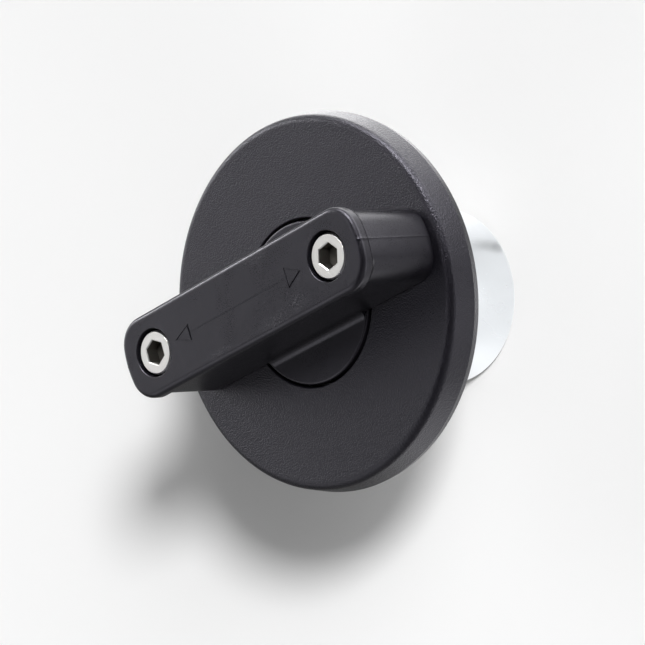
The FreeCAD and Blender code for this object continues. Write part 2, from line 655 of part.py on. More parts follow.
def make_spring_cap():
    """Plug in the top of the valve body, with vent holes and a tube that stops the plate."""
    stop_bottom = PLATE_TOP + PRESSURE_TRAVEL + STOP_GAP
    plug = lathe(
        (CAP_CENTRE_HOLE, CAP_BOTTOM),
        (STOP_INNER, CAP_BOTTOM),
        (STOP_INNER, stop_bottom),
        (STOP_OUTER, stop_bottom),
        (STOP_OUTER, CAP_BOTTOM),
        (VALVE_BORE, CAP_BOTTOM),
        (VALVE_BORE, VALVE_TOP),
        (CAP_CENTRE_HOLE, VALVE_TOP))
    hole = cylinder(CAP_HOLE_RADIUS, CAP_BOTTOM, VALVE_TOP, x=(STOP_OUTER + VALVE_BORE) / 2)
    return plug.cut(spread(hole, CAP_HOLE_COUNT))


def make_vacuum_poppet():
    """Poppet whose head hangs below the plate; its stem runs up through the guide."""
    head_top = PLATE_BOTTOM - VACUUM_SEAL_THICKNESS
    stem_top = CLIP_BOTTOM + CLIP_THICKNESS + STEM_ABOVE_CLIP
    return lathe(
        (0, head_top - POPPET_THICKNESS),
        (POPPET_RADIUS, head_top - POPPET_THICKNESS),
        (POPPET_RADIUS, head_top),
        (STEM_RADIUS, head_top),
        (STEM_RADIUS, stem_top),
        (0, stem_top))


def make_vacuum_seal():
    """Rubber washer on the head of the poppet that covers the air holes."""
    low = PLATE_BOTTOM - VACUUM_SEAL_THICKNESS
    return ring(STEM_RADIUS, POPPET_RADIUS - VACUUM_SEAL_MARGIN, low, PLATE_BOTTOM)


def make_vacuum_spring():
    """Light spring round the guide that pulls the poppet up through its clip."""
    mean_radius = guide_outer() + VACUUM_SPRING_CLEARANCE + VACUUM_WIRE_RADIUS
    return spring(mean_radius, VACUUM_WIRE_RADIUS, PLATE_TOP, CLIP_BOTTOM, VACUUM_SPRING_TURNS)


def make_poppet_clip():
    """Push-on washer on the stem that carries the top of the light spring."""
    return ring(STEM_RADIUS, CLIP_RADIUS, CLIP_BOTTOM, CLIP_BOTTOM + CLIP_THICKNESS)


def make_parts():
    """Every piece by name, each as its own solid."""
    parts = {
        "sleeve": make_sleeve(),
        "cover": make_cover(),
        "handle": make_handle(),
        "neck_gasket": make_neck_gasket(),
        "bayonet_stud_back": make_stud(1),
        "bayonet_stud_front": make_stud(-1),
        "filter_tray": make_filter_tray(),
        "dust_filter": make_dust_filter(),
        "valve_housing": make_valve_housing(),
        "valve_gasket": make_valve_gasket(),
        "valve_nut": make_valve_nut(),
        "spring_cap": make_spring_cap(),
        "pressure_plate": make_pressure_plate(),
        "pressure_seal": make_pressure_seal(),
        "pressure_spring": make_pressure_spring(),
        "vacuum_poppet": make_vacuum_poppet(),
        "vacuum_seal": make_vacuum_seal(),
        "vacuum_spring": make_vacuum_spring(),
        "poppet_clip": make_poppet_clip(),
    }
    for side, name in ((-1, "left"), (1, "right")):
        parts["handle_screw_" + name] = make_screw(side)
        parts["spring_washer_" + name] = make_washer(side)
        parts["handle_bush_" + name] = make_bush(side)
        parts["clinch_nut_" + name] = make_clinch_nut(side)
    return parts


os.makedirs("parts", exist_ok=True)
for node, shape in make_parts().items():
    shape.exportStep("parts/" + node + ".step")
    print(node, "volume", round(shape.Volume, 1), "solids", len(shape.Solids), "valid", shape.isValid())
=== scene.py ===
import math

import bpy
import numpy as np
from mathutils import Matrix, Vector


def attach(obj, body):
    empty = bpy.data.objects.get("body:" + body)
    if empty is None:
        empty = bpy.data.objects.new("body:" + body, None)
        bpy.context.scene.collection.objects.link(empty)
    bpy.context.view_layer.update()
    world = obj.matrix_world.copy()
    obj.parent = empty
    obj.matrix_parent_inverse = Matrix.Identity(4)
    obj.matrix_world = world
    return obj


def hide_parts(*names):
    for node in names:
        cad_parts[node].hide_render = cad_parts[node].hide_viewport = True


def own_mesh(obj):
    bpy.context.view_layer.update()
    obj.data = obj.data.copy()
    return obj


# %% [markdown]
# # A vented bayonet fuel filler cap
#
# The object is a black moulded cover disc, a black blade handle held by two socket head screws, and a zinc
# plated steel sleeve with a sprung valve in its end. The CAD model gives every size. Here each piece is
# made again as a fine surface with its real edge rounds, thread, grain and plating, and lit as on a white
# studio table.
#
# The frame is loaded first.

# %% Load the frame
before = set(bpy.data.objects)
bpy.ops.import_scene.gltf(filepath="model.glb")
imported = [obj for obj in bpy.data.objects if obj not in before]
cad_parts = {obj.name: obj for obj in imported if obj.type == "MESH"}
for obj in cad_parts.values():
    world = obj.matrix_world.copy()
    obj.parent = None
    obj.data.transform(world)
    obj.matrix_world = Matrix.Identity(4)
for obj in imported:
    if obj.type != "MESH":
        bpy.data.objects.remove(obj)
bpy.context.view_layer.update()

# %% [markdown]
# ## Sizes
#
# These are the object's own sizes in millimetres, measured from the closed end of the sleeve upwards. They
# are the values of the CAD model, so that a new surface lies where its solid lies.

# %% Sizes in millimetres
MM = 0.001
COVER_FACE = 49.2
COVER_REAR = 40.6
WALL_BACK = 46.2
COVER_FRONT_RADIUS = 41.8
COVER_REAR_RADIUS = 42.86
RIM_INNER_RADIUS = 40.46
COVER_HOLE_RADIUS = 18.98
FLANGE_FACE = 44.7
FLANGE_REAR = 43.2
FLANGE_RADIUS = 36.0
SLEEVE_RADIUS = 20.65
SHEET = 1.5
SCREW_OFFSET = 28.6
HANDLE_TOP = 71.6
HANDLE_BASE_RADIUS = 18.34
COUNTERBORE_FLOOR = 63.5
HEAD_TOP = 71.1
HEAD_UNDERSIDE = 65.1
SCREW_TIP = 45.1
STUD_HEIGHT = 31.2
print("disc across", 2 * COVER_REAR_RADIUS, "sleeve across", 2 * SLEEVE_RADIUS, "height", HANDLE_TOP)

# %% [markdown]
# ## Helpers for surfaces
#
# Nearly every piece is turned, drawn or moulded, so its surface is a profile carried round an axis. A
# profile is a list of corners, each with its own rounding. Next to each arc stands a guard point, so that
# smooth shading stays on the arc and the flats stay flat. A second helper skins any grid of points and
# closes its poles.

# %% Rounded profiles
GUARD = 0.06


def rounded(corners, steps=7, closed=True):
    """Points through (r, z, radius) corners; each corner becomes a tangent arc with a guard point on both
    sides."""
    corners = [(tuple(c) + (0.0,))[:3] for c in corners]
    count = len(corners)
    points = []
    for index, (r, z, radius) in enumerate(corners):
        corner = np.array([r, z])
        ends = not closed and index in (0, count - 1)
        if radius == 0 or ends:
            points.append(corner)
            continue
        back = np.array(corners[index - 1][:2]) - corner
        ahead = np.array(corners[(index + 1) % count][:2]) - corner
        room = min(np.linalg.norm(back), np.linalg.norm(ahead))
        back, ahead = back / np.linalg.norm(back), ahead / np.linalg.norm(ahead)
        half = math.acos(np.clip(back @ ahead, -1, 1)) / 2
        reach = radius / math.tan(half)
        centre = corner + (back + ahead) / np.linalg.norm(back + ahead) * radius / math.sin(half)
        start, stop = corner + back * reach - centre, corner + ahead * reach - centre
        turn = math.atan2(start[0] * stop[1] - start[1] * stop[0], start @ stop)
        angles = np.linspace(0, turn, steps + 1)
        arc = centre + np.stack([start[0] * np.cos(angles) - start[1] * np.sin(angles),
                                 start[0] * np.sin(angles) + start[1] * np.cos(angles)], 1)
        guard = min(reach + GUARD, (reach + room) / 2)
        points.extend([corner + back * guard, *arc, corner + ahead * guard])
    return np.array(points)


print("points of a square with one round corner", len(rounded([(0, 0), (9, 0), (9, 9, 2), (0, 9)])))


# %% Skin a grid of points
STEPS_PER_MM = 2000


def skin(name, grid, around=True, along=False, caps=True):
    """Mesh from a grid of points in millimetres, rows by columns. Columns close round when around is set
    and rows when along is set. Open ends get a flat cap. Rows that shrink to one point become a pole.
    Points in the same step of a millimetre are one point."""
    rows, columns = grid.shape[:2]
    ids = np.arange(rows * columns).reshape(rows, columns)
    if around:
        ids = np.concatenate([ids, ids[:, :1]], 1)
    if along:
        ids = np.concatenate([ids, ids[:1]], 0)
    quads = np.stack([ids[:-1, :-1], ids[:-1, 1:], ids[1:, 1:], ids[1:, :-1]], -1).reshape(-1, 4)
    points = grid.reshape(-1, 3)
    keys = np.round(points * STEPS_PER_MM).astype(np.int64)
    _, first, inverse = np.unique(keys, axis=0, return_index=True, return_inverse=True)
    inverse = inverse.reshape(-1)
    points, quads = points[first], inverse[quads]
    same = quads == np.roll(quads, -1, 1)
    whole = quads[~same.any(1)]
    single = same.sum(1) == 1
    doubled = same[single].argmax(1)
    rolled = np.array([np.roll(q, -k - 1) for q, k in zip(quads[single], doubled)]).reshape(-1, 4)
    polygons = whole.tolist() + rolled[:, :3].tolist()
    if caps and around and not along:
        for row, flip in ((ids[0], False), (ids[-1], True)):
            loop = inverse[row[:-1]]
            loop = loop[loop != np.roll(loop, -1)]
            if len(loop) > 2:
                polygons.append(loop.tolist() if flip else loop[::-1].tolist())
    fans = [(p[0], p[k], p[k + 1]) for p in polygons for k in range(1, len(p) - 1)]
    a, b, c = (points[np.array(fans)[:, k]] for k in range(3))
    volume = np.einsum("ij,ij->i", a, np.cross(b, c)).sum() / 6
    if volume < 0:
        polygons = [p[::-1] for p in polygons]
    mesh = bpy.data.meshes.new(name)
    mesh.from_pydata((points * MM).tolist(), [], polygons)
    mesh.update()
    shade(mesh)
    return mesh


def shade(mesh, angle=32):
    """Smooth shading, with an edge kept sharp where its faces meet at more than the angle in degrees."""
    mesh.polygons.foreach_set("use_smooth", np.ones(len(mesh.polygons), bool))
    mesh.set_sharp_from_angle(angle=math.radians(angle))


# %% Turn a profile about an axis
def angles(count):
    """Evenly spaced angles of one turn: a = 2 pi k / count."""
    return np.arange(count) * 2 * math.pi / count


def turned(name, profile, count=128, closed=True, centre=(0, 0)):
    """A profile of (r, z) carried round an upright axis through centre: x = r cos a, y = r sin a."""
    a = angles(count)
    r, z = profile[:, :1], profile[:, 1:]
    x, y = centre[0] + r * np.cos(a), centre[1] + r * np.sin(a)
    return skin(name, np.stack([x, y, z + 0 * x], -1), along=closed)


def at_height(outline, z):
    """Plan points (x, y) lifted to the height z."""
    return np.column_stack([outline, np.full(len(outline), z)])


def upright(name, outline, low, high):
    """A plan outline of (x, y) points pushed up from one height to another."""
    return skin(name, np.array([at_height(outline, z) for z in (low, high)]))


print("quarter turn", angles(4)[1])

# %% [markdown]
# ## Joining and cutting
#
# The handle and the flange need holes that cross their surfaces at right angles. A Boolean modifier cuts
# them, and its result becomes the piece's own mesh at once, so that nothing depends on it later.

# %% Add an object, and cut one mesh with another
def add(name, data):
    """A new object with this mesh, lamp or camera, at the scene's origin."""
    made = bpy.data.objects.new(name, data)
    bpy.context.scene.collection.objects.link(made)
    return made


def combine(piece, tool_mesh, operation="DIFFERENCE"):
    """Cuts or joins a mesh into the piece and keeps the result as the piece's own mesh."""
    tool = add("tool", tool_mesh)
    modifier = piece.modifiers.new("combine", "BOOLEAN")
    modifier.object, modifier.operation, modifier.solver = tool, operation, "EXACT"
    graph = bpy.context.evaluated_depsgraph_get()
    result = bpy.data.meshes.new_from_object(piece.evaluated_get(graph), depsgraph=graph)
    piece.modifiers.clear()
    piece.data = result
    bpy.data.objects.remove(tool)
    shade(result)


def drill(piece, *cuts):
    """Cuts turned shapes out of a piece, round the axes of both screws. Each cut is a count of columns
    and its corners."""
    for side in (-1, 1):
        for count, corners in cuts:
            shape = rounded(corners, closed=False)
            combine(piece, turned("drill", shape, count, closed=False, centre=(side * SCREW_OFFSET, 0)))


# %% Finish a piece
def finish(piece, material, body, slot, *nodes, weighted=False):
    """Material and body of a finished piece; the slot is not used. Weighted normals keep large flats flat
    beside small rounds."""
    piece.data.materials.clear()
    piece.data.materials.append(material)
    if weighted:
        modifier = piece.modifiers.new("flats", "WEIGHTED_NORMAL")
        modifier.keep_sharp = True
    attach(piece, body)
    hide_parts(*nodes)
    points = np.array([list(v.co) for v in piece.data.vertices])
    print(piece.name, "faces", len(piece.data.polygons), "size mm", np.round(np.ptp(points, 0) / MM, 2))


def place(name, mesh, material, body, slot, *nodes):
    """Puts a mesh in the scene as a piece that rides on a body and stands for its CAD nodes."""
    piece = add(name, mesh)
    finish(piece, material, body, slot, *nodes)
    return piece


def turn_piece(name, corners, count, material, body, slot, stands_for, closed=True):
    """Piece turned from the corners of its section."""
    mesh = turned(name, rounded(corners, closed=closed), count, closed=closed)
    place(name, mesh, material, body, slot, stands_for)


# %% [markdown]
# ## Material helpers
#
# A material is a small network of nodes. The first helper makes a node and sets its sockets, and the others
# build on it, so that a network reads like a formula: noise over a place, a value spread between two
# others, a sum, a blend of two colours, and one bump laid on another.

# %% Node helpers
def colour(value):
    """A colour socket value from three numbers."""
    return (*value, 1.0)


def node(tree, kind, values=None, **settings):
    """A node of a kind; settings are its properties, values maps sockets to numbers, colours or other
    sockets."""
    made = tree.nodes.new(kind)
    for key, value in settings.items():
        setattr(made, key, value)
    for key, value in (values or {}).items():
        if isinstance(value, bpy.types.NodeSocket):
            tree.links.new(value, made.inputs[key])
        else:
            made.inputs[key].default_value = value
    return made


def start_material(name, **values):
    """A material with a Principled shader whose plain sockets are set here; returns it, its tree and its
    shader."""
    material = bpy.data.materials.new(name)
    material.use_nodes = True
    tree = material.node_tree
    shader = tree.nodes["Principled BSDF"]
    for key, value in values.items():
        shader.inputs[key.replace("_", " ")].default_value = value
    return material, tree, shader


def start_group(name, inputs, outputs):
    """A shader node group with named inputs and outputs; inputs maps a name to its kind and first value."""
    tree = bpy.data.node_groups.new(name, "ShaderNodeTree")
    for key, (kind, value) in inputs.items():
        socket = tree.interface.new_socket(key, in_out="INPUT", socket_type=kind)
        if value is not None:
            socket.default_value = value
    for key, kind in outputs.items():
        tree.interface.new_socket(key, in_out="OUTPUT", socket_type=kind)
    return tree, tree.nodes.new("NodeGroupInput"), tree.nodes.new("NodeGroupOutput")


def use_group(tree, group, values=None):
    """Places a group in a material and sets or links its inputs."""
    return node(tree, "ShaderNodeGroup", values, node_tree=group)


def object_point(tree):
    """Place of the shaded point in the object's own metres."""
    return node(tree, "ShaderNodeTexCoord").outputs["Object"]


def blend(tree, share, first, second):
    """Colour that goes from first to second as share goes from 0 to 1."""
    return node(tree, "ShaderNodeMix", {0: share, "A": first, "B": second}, data_type="RGBA").outputs[2]


def noise(tree, where, scale, detail, **more):
    """Noise texture over a vector; more gives its other sockets."""
    return node(tree, "ShaderNodeTexNoise", {"Vector": where, "Scale": scale, "Detail": detail, **more})


def spread(tree, value, low, high, bottom=0.0, top=1.0, way="LINEAR"):
    """Value that goes from bottom to top as the given one goes from low to high, and stays inside them."""
    sockets = {"Value": value, "From Min": low, "From Max": high, "To Min": bottom, "To Max": top}
    return node(tree, "ShaderNodeMapRange", sockets, interpolation_type=way).outputs["Result"]


def vector_math(tree, operation, *values):
    """Vector node for one operation on one or two values."""
    return node(tree, "ShaderNodeVectorMath", dict(enumerate(values)), operation=operation)


def math_of(tree, operation, *values, **settings):
    """Number that an operation makes of one to three values."""
    return node(tree, "ShaderNodeMath", dict(enumerate(values)), operation=operation, **settings).outputs[0]


def times_plus(tree, first, factor, rest, **settings):
    """Number first * factor + rest."""
    return math_of(tree, "MULTIPLY_ADD", first, factor, rest, **settings)


def add_bump(tree, shader, depth, height):
    """Bump of a depth in metres into the shader's normal, on top of the bump that is there already."""
    bump = node(tree, "ShaderNodeBump", {"Strength": 1.0, "Distance": depth, "Height": height})
    for link in list(shader.inputs["Normal"].links):
        tree.links.new(link.from_socket, bump.inputs["Normal"])
    tree.links.new(bump.outputs[0], shader.inputs["Normal"])


# %% [markdown]
# ## Shared effects
#
# Four effects are node groups, so that each is made once and used with other values. Grain is the fine
# pebbled skin of a moulded part: cells between fine valleys. Handling is what use leaves on a surface: soft
# smudges and hairlines that change the gloss. Turning gives the rings of a lathe tool. Plating gives the
# soft cloudy tone of bright zinc.

# %% Grain group
FLOAT, VECTOR = "NodeSocketFloat", "NodeSocketVector"

grain, g_in, g_out = start_group(
    "moulded grain",
    {"Scale": (FLOAT, 2400.0), "Softness": (FLOAT, 0.6)},
    {"Height": FLOAT, "Valleys": FLOAT})
on_object = object_point(grain)
warp = noise(grain, on_object, 900.0, 2.0)
bent = vector_math(grain, "MULTIPLY", warp.outputs["Color"], (0.0004, 0.0004, 0.0004))
moved = vector_math(grain, "ADD", on_object, bent.outputs[0])
cells = node(grain, "ShaderNodeTexVoronoi",
             {"Vector": moved.outputs[0], "Scale": g_in.outputs["Scale"],
              "Smoothness": g_in.outputs["Softness"]},
             feature="SMOOTH_F1")
fine = noise(grain, on_object, 5200.0, 2.0)
cell_height = spread(grain, cells.outputs["Distance"], 0.1, 0.75, 1.0, 0.0, "SMOOTHSTEP")
grain.links.new(times_plus(grain, fine.outputs["Fac"], 0.35, cell_height), g_out.inputs["Height"])
grain.links.new(math_of(grain, "SUBTRACT", 1.0, cell_height), g_out.inputs["Valleys"])
print(grain.name, "nodes", len(grain.nodes))

# %% Handling group
handling, h_in, h_out = start_group(
    "handling",
    {"Smudge Scale": (FLOAT, 60.0), "Hairline Scale": (FLOAT, 420.0)},
    {"Smudges": FLOAT, "Hairlines": FLOAT})
on_object = object_point(handling)
smudge = noise(handling, on_object, h_in.outputs["Smudge Scale"], 5.0, Roughness=0.62, Distortion=0.6)
stretched = node(handling, "ShaderNodeMapping",
                 {"Vector": on_object, "Rotation": (0.3, 0.2, 0.7), "Scale": (0.08, 1.0, 1.0)})
hair = noise(handling, stretched.outputs[0], h_in.outputs["Hairline Scale"], 4.0, Roughness=0.75)
handling.links.new(spread(handling, smudge.outputs["Fac"], 0.38, 0.66), h_out.inputs["Smudges"])
handling.links.new(spread(handling, hair.outputs["Fac"], 0.62, 0.74), h_out.inputs["Hairlines"])
print(handling.name, "nodes", len(handling.nodes))

# %% Turning group
turning, t_in, t_out = start_group(
    "turning marks",
    {"Centre": (VECTOR, None), "Rings Per Metre": (FLOAT, 5200.0)},
    {"Height": FLOAT, "Tone": FLOAT})
on_object = object_point(turning)
from_axis = vector_math(turning, "SUBTRACT", on_object, t_in.outputs["Centre"])
flat = vector_math(turning, "MULTIPLY", from_axis.outputs[0], (1, 1, 0))
radius = vector_math(turning, "LENGTH", flat.outputs[0])
apart = node(turning, "ShaderNodeSeparateXYZ", {0: from_axis.outputs[0]})
along = node(turning, "ShaderNodeCombineXYZ", {"X": radius.outputs["Value"], "Y": apart.outputs["Z"]})
rings = noise(turning, along.outputs[0], t_in.outputs["Rings Per Metre"], 3.0, Roughness=0.7)
broad = noise(turning, along.outputs[0], 700.0, 2.0)
turning.links.new(rings.outputs["Fac"], t_out.inputs["Height"])
turning.links.new(broad.outputs["Fac"], t_out.inputs["Tone"])
print(turning.name, "nodes", len(turning.nodes))

# %% Plating group
plating, p_in, p_out = start_group(
    "zinc plating",
    {"Cloud Scale": (FLOAT, 45.0)},
    {"Clouds": FLOAT, "Spangle": FLOAT})
on_object = object_point(plating)
drawn = node(plating, "ShaderNodeMapping", {"Vector": on_object, "Scale": (1.0, 1.0, 0.35)})
cloud = noise(plating, drawn.outputs[0], p_in.outputs["Cloud Scale"], 4.0, Roughness=0.55, Distortion=0.8)
speck = noise(plating, on_object, 1800.0, 3.0)
plating.links.new(spread(plating, cloud.outputs["Fac"], 0.3, 0.7, way="SMOOTHSTEP"), p_out.inputs["Clouds"])
plating.links.new(speck.outputs["Fac"], p_out.inputs["Spangle"])
print(plating.name, "nodes", len(plating.nodes))

# %% [markdown]
# ## Plastics
#
# The cover is a glass filled nylon with an etched grain: the cells catch the light and the valleys stay
# dull. The handle is the same black but smooth, so it shows soft smudges, hairlines and a few scuffs
# instead. Both are nearly black, so most of what is seen is gloss, and the roughness does the work.

# %% Scuffs
def scuffed(tree, spots):
    """Mask of fine pale flecks inside oval spots, each given as centre, reach along x and reach along y in
    mm."""
    on_object = object_point(tree)
    reach = 0.0
    for x, y, along_x, along_y in spots:
        away = vector_math(tree, "SUBTRACT", on_object, (x * MM, y * MM, HANDLE_TOP * MM))
        scaled = vector_math(tree, "MULTIPLY", away.outputs[0],
                             (1 / (along_x * MM), 1 / (along_y * MM), 1 / (0.6 * MM)))
        length = vector_math(tree, "LENGTH", scaled.outputs[0])
        inside = spread(tree, length.outputs["Value"], 1.0, 0.2, way="SMOOTHSTEP")
        reach = math_of(tree, "MAXIMUM", reach, inside)
    fleck = noise(tree, on_object, 2600.0, 3.0, Roughness=0.7)
    return math_of(tree, "MULTIPLY", reach, spread(tree, fleck.outputs["Fac"], 0.53, 0.66))


# %% Black plastics
GLOSS_TINT = (0.89, 0.865, 1.0)
SCUFF_TONE = (0.055, 0.054, 0.060)


def black_plastic(name, tone, roughness, grain_scale, grain_depth, smudge, waves=0.0, spots=()):
    """Moulded black plastic: grain and soft sink waves into the bump, valleys and smudges into the roughness,
    hairlines and scuffs into the tone."""
    material, tree, shader = start_material(name)
    shader.inputs["IOR"].default_value = 1.5
    shader.inputs["Specular Tint"].default_value = colour(GLOSS_TINT)
    skin_of = use_group(tree, grain, {"Scale": grain_scale})
    used = use_group(tree, handling)
    shown = blend(tree, used.outputs["Hairlines"], colour(tone), colour([t * 1.5 for t in tone]))
    dull = times_plus(tree, skin_of.outputs["Valleys"], 0.12, roughness)
    gloss = times_plus(tree, used.outputs["Smudges"], smudge, dull)
    if spots:
        marks = scuffed(tree, spots)
        shown = blend(tree, marks, shown, colour(SCUFF_TONE))
        gloss = times_plus(tree, marks, 0.2, gloss)
    tree.links.new(shown, shader.inputs["Base Color"])
    tree.links.new(gloss, shader.inputs["Roughness"])
    if waves:
        on_object = object_point(tree)
        sink = noise(tree, on_object, 240.0, 2.0, Distortion=0.5)
        add_bump(tree, shader, waves, sink.outputs["Fac"])
    add_bump(tree, shader, grain_depth, skin_of.outputs["Height"])
    print(material.name, "nodes", len(tree.nodes))
    return material


cover_plastic = black_plastic("grained cover plastic", (0.0036, 0.0033, 0.0048), 0.27, 2700.0, 0.000042, 0.04)
handle_plastic = black_plastic("smooth handle plastic", (0.0036, 0.0033, 0.0046), 0.24, 3600.0, 0.000004,
                               0.08, waves=0.00006,
                               spots=[(9.4, -7.2, 6.2, 2.6), (17.0, -5.6, 5.0, 2.4), (8.4, 7.6, 6.5, 2.0),
                                      (-9.0, -7.4, 6.0, 1.2)])


# %% [markdown]
# ## Metals
#
# Bright zinc plating is a bluish, slightly milky mirror: the drawn sheet below it leaves soft clouds. The
# screws are stainless and turned, so their rings spread the light round the axis. Spring wire is drawn and
# a little darker. The sleeve is so bright that it would throw a patch of light on the table, which the real
# one hardly does. So the light that it sends to a dull surface, a diffuse ray, comes from a darker and
# rougher zinc.

# %% Plated sheet
ZINC_SENT_BACK = (0.22, 0.22, 0.22)


def plated(name, tone, low, high):
    """Plated sheet: clouds change tone and roughness, the fine spangle only the bump."""
    material, tree, shader = start_material(name, Metallic=1.0)
    look = use_group(tree, plating)
    used = use_group(tree, handling, {"Hairline Scale": 260.0})
    path = node(tree, "ShaderNodeLightPath")
    base = blend(tree, look.outputs["Clouds"], colour(tone), colour([t * 0.93 for t in tone]))
    sent_back = blend(tree, path.outputs["Is Diffuse Ray"], base, colour(ZINC_SENT_BACK))
    tree.links.new(sent_back, shader.inputs["Base Color"])
    rough = spread(tree, look.outputs["Clouds"], 0.0, 1.0, low, high)
    lined = times_plus(tree, used.outputs["Hairlines"], 0.05, rough)
    calm = times_plus(tree, path.outputs["Is Diffuse Ray"], 0.6, lined, use_clamp=True)
    tree.links.new(calm, shader.inputs["Roughness"])
    add_bump(tree, shader, 0.0000015, look.outputs["Spangle"])
    print(material.name, "nodes", len(tree.nodes))
    return material


# %% Turned metal
def turned_metal(name, tone, roughness, centre=(0, 0, 0), rings=5200.0, depth=0.0000012, metallic=1.0):
    """Turned metal: fine rings round the axis in the bump, broad rings in the tone and roughness."""
    material, tree, shader = start_material(name, Metallic=metallic)
    marks = use_group(tree, turning, {"Centre": centre, "Rings Per Metre": rings})
    base = blend(tree, marks.outputs["Tone"], colour([t * 0.92 for t in tone]), colour(tone))
    tree.links.new(base, shader.inputs["Base Color"])
    rough = spread(tree, marks.outputs["Tone"], 0.0, 1.0, roughness, roughness + 0.08)
    tree.links.new(rough, shader.inputs["Roughness"])
    add_bump(tree, shader, depth, marks.outputs["Height"])
    print(material.name, "nodes", len(tree.nodes))
    return material


# %% Zinc, stainless, spring steel and brass
STAINLESS = (0.80, 0.79, 0.77)
zinc = plated("bright zinc plating", (0.74, 0.765, 0.79), 0.2, 0.3)
left_stainless = turned_metal("stainless, left screw", STAINLESS, 0.26, (-SCREW_OFFSET * MM, 0, 0))
right_stainless = turned_metal("stainless, right screw", STAINLESS, 0.26, (SCREW_OFFSET * MM, 0, 0))
spring_steel = turned_metal("drawn spring wire", (0.55, 0.55, 0.56), 0.3)
brass = turned_metal("turned brass", (0.75, 0.58, 0.27), 0.28)
# The socket's material is dark: painted shade that stands for the dark of the recess inside the screw head.
socket_painted_shade = turned_metal("socket with painted shade", (0.16, 0.15, 0.135), 0.34, rings=9000.0, metallic=0.91)


# %% [markdown]
# ## Rubber, acetal and foam
#
# The seals are nitrile rubber: black, dull and faintly dusty. The valve body is natural acetal, a milky
# plastic that lets a little light in. The dust filter is open cell foam, so its surface is all small pits,
# with painted shade that makes the hollows of the pits darker.

# %% Soft and white materials
def clouded(name, scale, tones, low, high, **values):
    """Material whose clouds lead from one tone and roughness to the other."""
    material, tree, shader = start_material(name, **values)
    clouds = use_group(tree, handling, {"Smudge Scale": scale}).outputs["Smudges"]
    tree.links.new(blend(tree, clouds, *map(colour, tones)), shader.inputs["Base Color"])
    tree.links.new(spread(tree, clouds, 0.0, 1.0, low, high), shader.inputs["Roughness"])
    return material, tree, shader


rubber, tree, shader = clouded("nitrile rubber", 160.0, [(0.018, 0.018, 0.018), (0.035, 0.035, 0.036)],
                               0.55, 0.75)
add_bump(tree, shader, 0.000006, use_group(tree, grain, {"Scale": 5200.0}).outputs["Height"])
acetal = clouded("natural acetal", 90.0, [(0.74, 0.73, 0.69), (0.68, 0.67, 0.62)], 0.32, 0.45,
                 Subsurface_Weight=0.15, Subsurface_Scale=0.002)[0]
foam, tree, shader = start_material("open cell foam", Roughness=0.95)
pits = use_group(tree, grain, {"Scale": 1300.0, "Softness": 0.2})
# Darker in the valleys of the pits: painted shade in the hollows of the foam.
base = blend(tree, pits.outputs["Valleys"], colour((0.17, 0.17, 0.18)), colour((0.05, 0.05, 0.055)))
tree.links.new(base, shader.inputs["Base Color"])
add_bump(tree, shader, 0.0003, pits.outputs["Height"])
print("materials", [material.name for material in (rubber, acetal, foam)])

# %% [markdown]
# ## The cover
#
# The cover is a moulded dish. Its face is flat with a soft outer edge, its rim flares a little towards the
# rear, and behind it stand a seat ring, a locating ring, twelve pads for the flange and twenty four gussets
# behind the rim. One closed grid makes all of it. Going round, the columns stand at the sides of the ribs.
# Going along, the rows follow the section, and on the back the height of a row depends on whether its
# column is in a rib.

# %% Columns of the cover
RIBS, RIB_HALF, RIB_SIDE, PLAIN = 24, 0.8, 0.02, 8


def cover_angles(radius):
    """Angles of all columns at a radius: per rib its two sides, then evenly spread columns to the next
    rib."""
    half = np.arcsin(np.minimum(RIB_HALF / radius, 0.99))[:, None]
    pitch = 2 * math.pi / RIBS
    side = RIB_SIDE / radius[:, None]
    share = np.linspace(0, 1, PLAIN)[None, :]
    between = half + side + share * (pitch - 2 * half - 2 * side)
    one = np.concatenate([-half, half, between], 1)
    return np.concatenate([one + k * pitch for k in range(RIBS)], 1)


rib_column = np.zeros(2 + PLAIN, bool)
rib_column[:2] = True
is_rib = np.tile(rib_column, RIBS)
is_pad = is_rib & np.repeat(np.arange(RIBS) % 2 == 0, 2 + PLAIN)
print("columns of the cover", len(is_rib), "in ribs", is_rib.sum(), "of these in pads", is_pad.sum())

# %% Section of the cover and its back
front = rounded([(COVER_HOLE_RADIUS, WALL_BACK), (COVER_HOLE_RADIUS, COVER_FACE, 0.3),
                 (COVER_FRONT_RADIUS, COVER_FACE, 1.95), (COVER_REAR_RADIUS, COVER_REAR + 2.0, 0.15),
                 (COVER_REAR_RADIUS - 0.45, COVER_REAR, 0.4), (RIM_INNER_RADIUS, COVER_REAR, 0.5),
                 (RIM_INNER_RADIUS - 0.69, WALL_BACK)], steps=9, closed=False)
SEAT_IN, SEAT_OUT, LOCATE_IN, LOCATE_OUT = 21.75, 23.95, 36.15, 37.95
SEAT, LOCATE = FLANGE_FACE, WALL_BACK - 3.2
STEP = 0.05
back_radius = np.array([39.7, LOCATE_OUT + STEP, LOCATE_OUT, LOCATE_IN, LOCATE_IN - STEP, SEAT_OUT + STEP,
                        SEAT_OUT, SEAT_IN, SEAT_IN - STEP])
back_plain = np.array([WALL_BACK, WALL_BACK, LOCATE, LOCATE, WALL_BACK, WALL_BACK, SEAT, SEAT, WALL_BACK])
back_pad = np.array([LOCATE, LOCATE, LOCATE, LOCATE, SEAT, SEAT, SEAT, SEAT, WALL_BACK])
back_gusset = np.array([LOCATE, LOCATE, LOCATE, LOCATE, WALL_BACK, WALL_BACK, SEAT, SEAT, WALL_BACK])
back = np.where(is_pad, back_pad[:, None], np.where(is_rib, back_gusset[:, None], back_plain[:, None]))
cover_radius = np.concatenate([front[:, 0], back_radius])
cover_height = np.concatenate([np.repeat(front[:, 1:], len(is_rib), 1), back])
turn_by = cover_angles(cover_radius)
cover_grid = np.stack([cover_radius[:, None] * np.cos(turn_by), cover_radius[:, None] * np.sin(turn_by),
                       cover_height], -1)
cover_mesh = skin("cover_moulding", cover_grid, along=True)
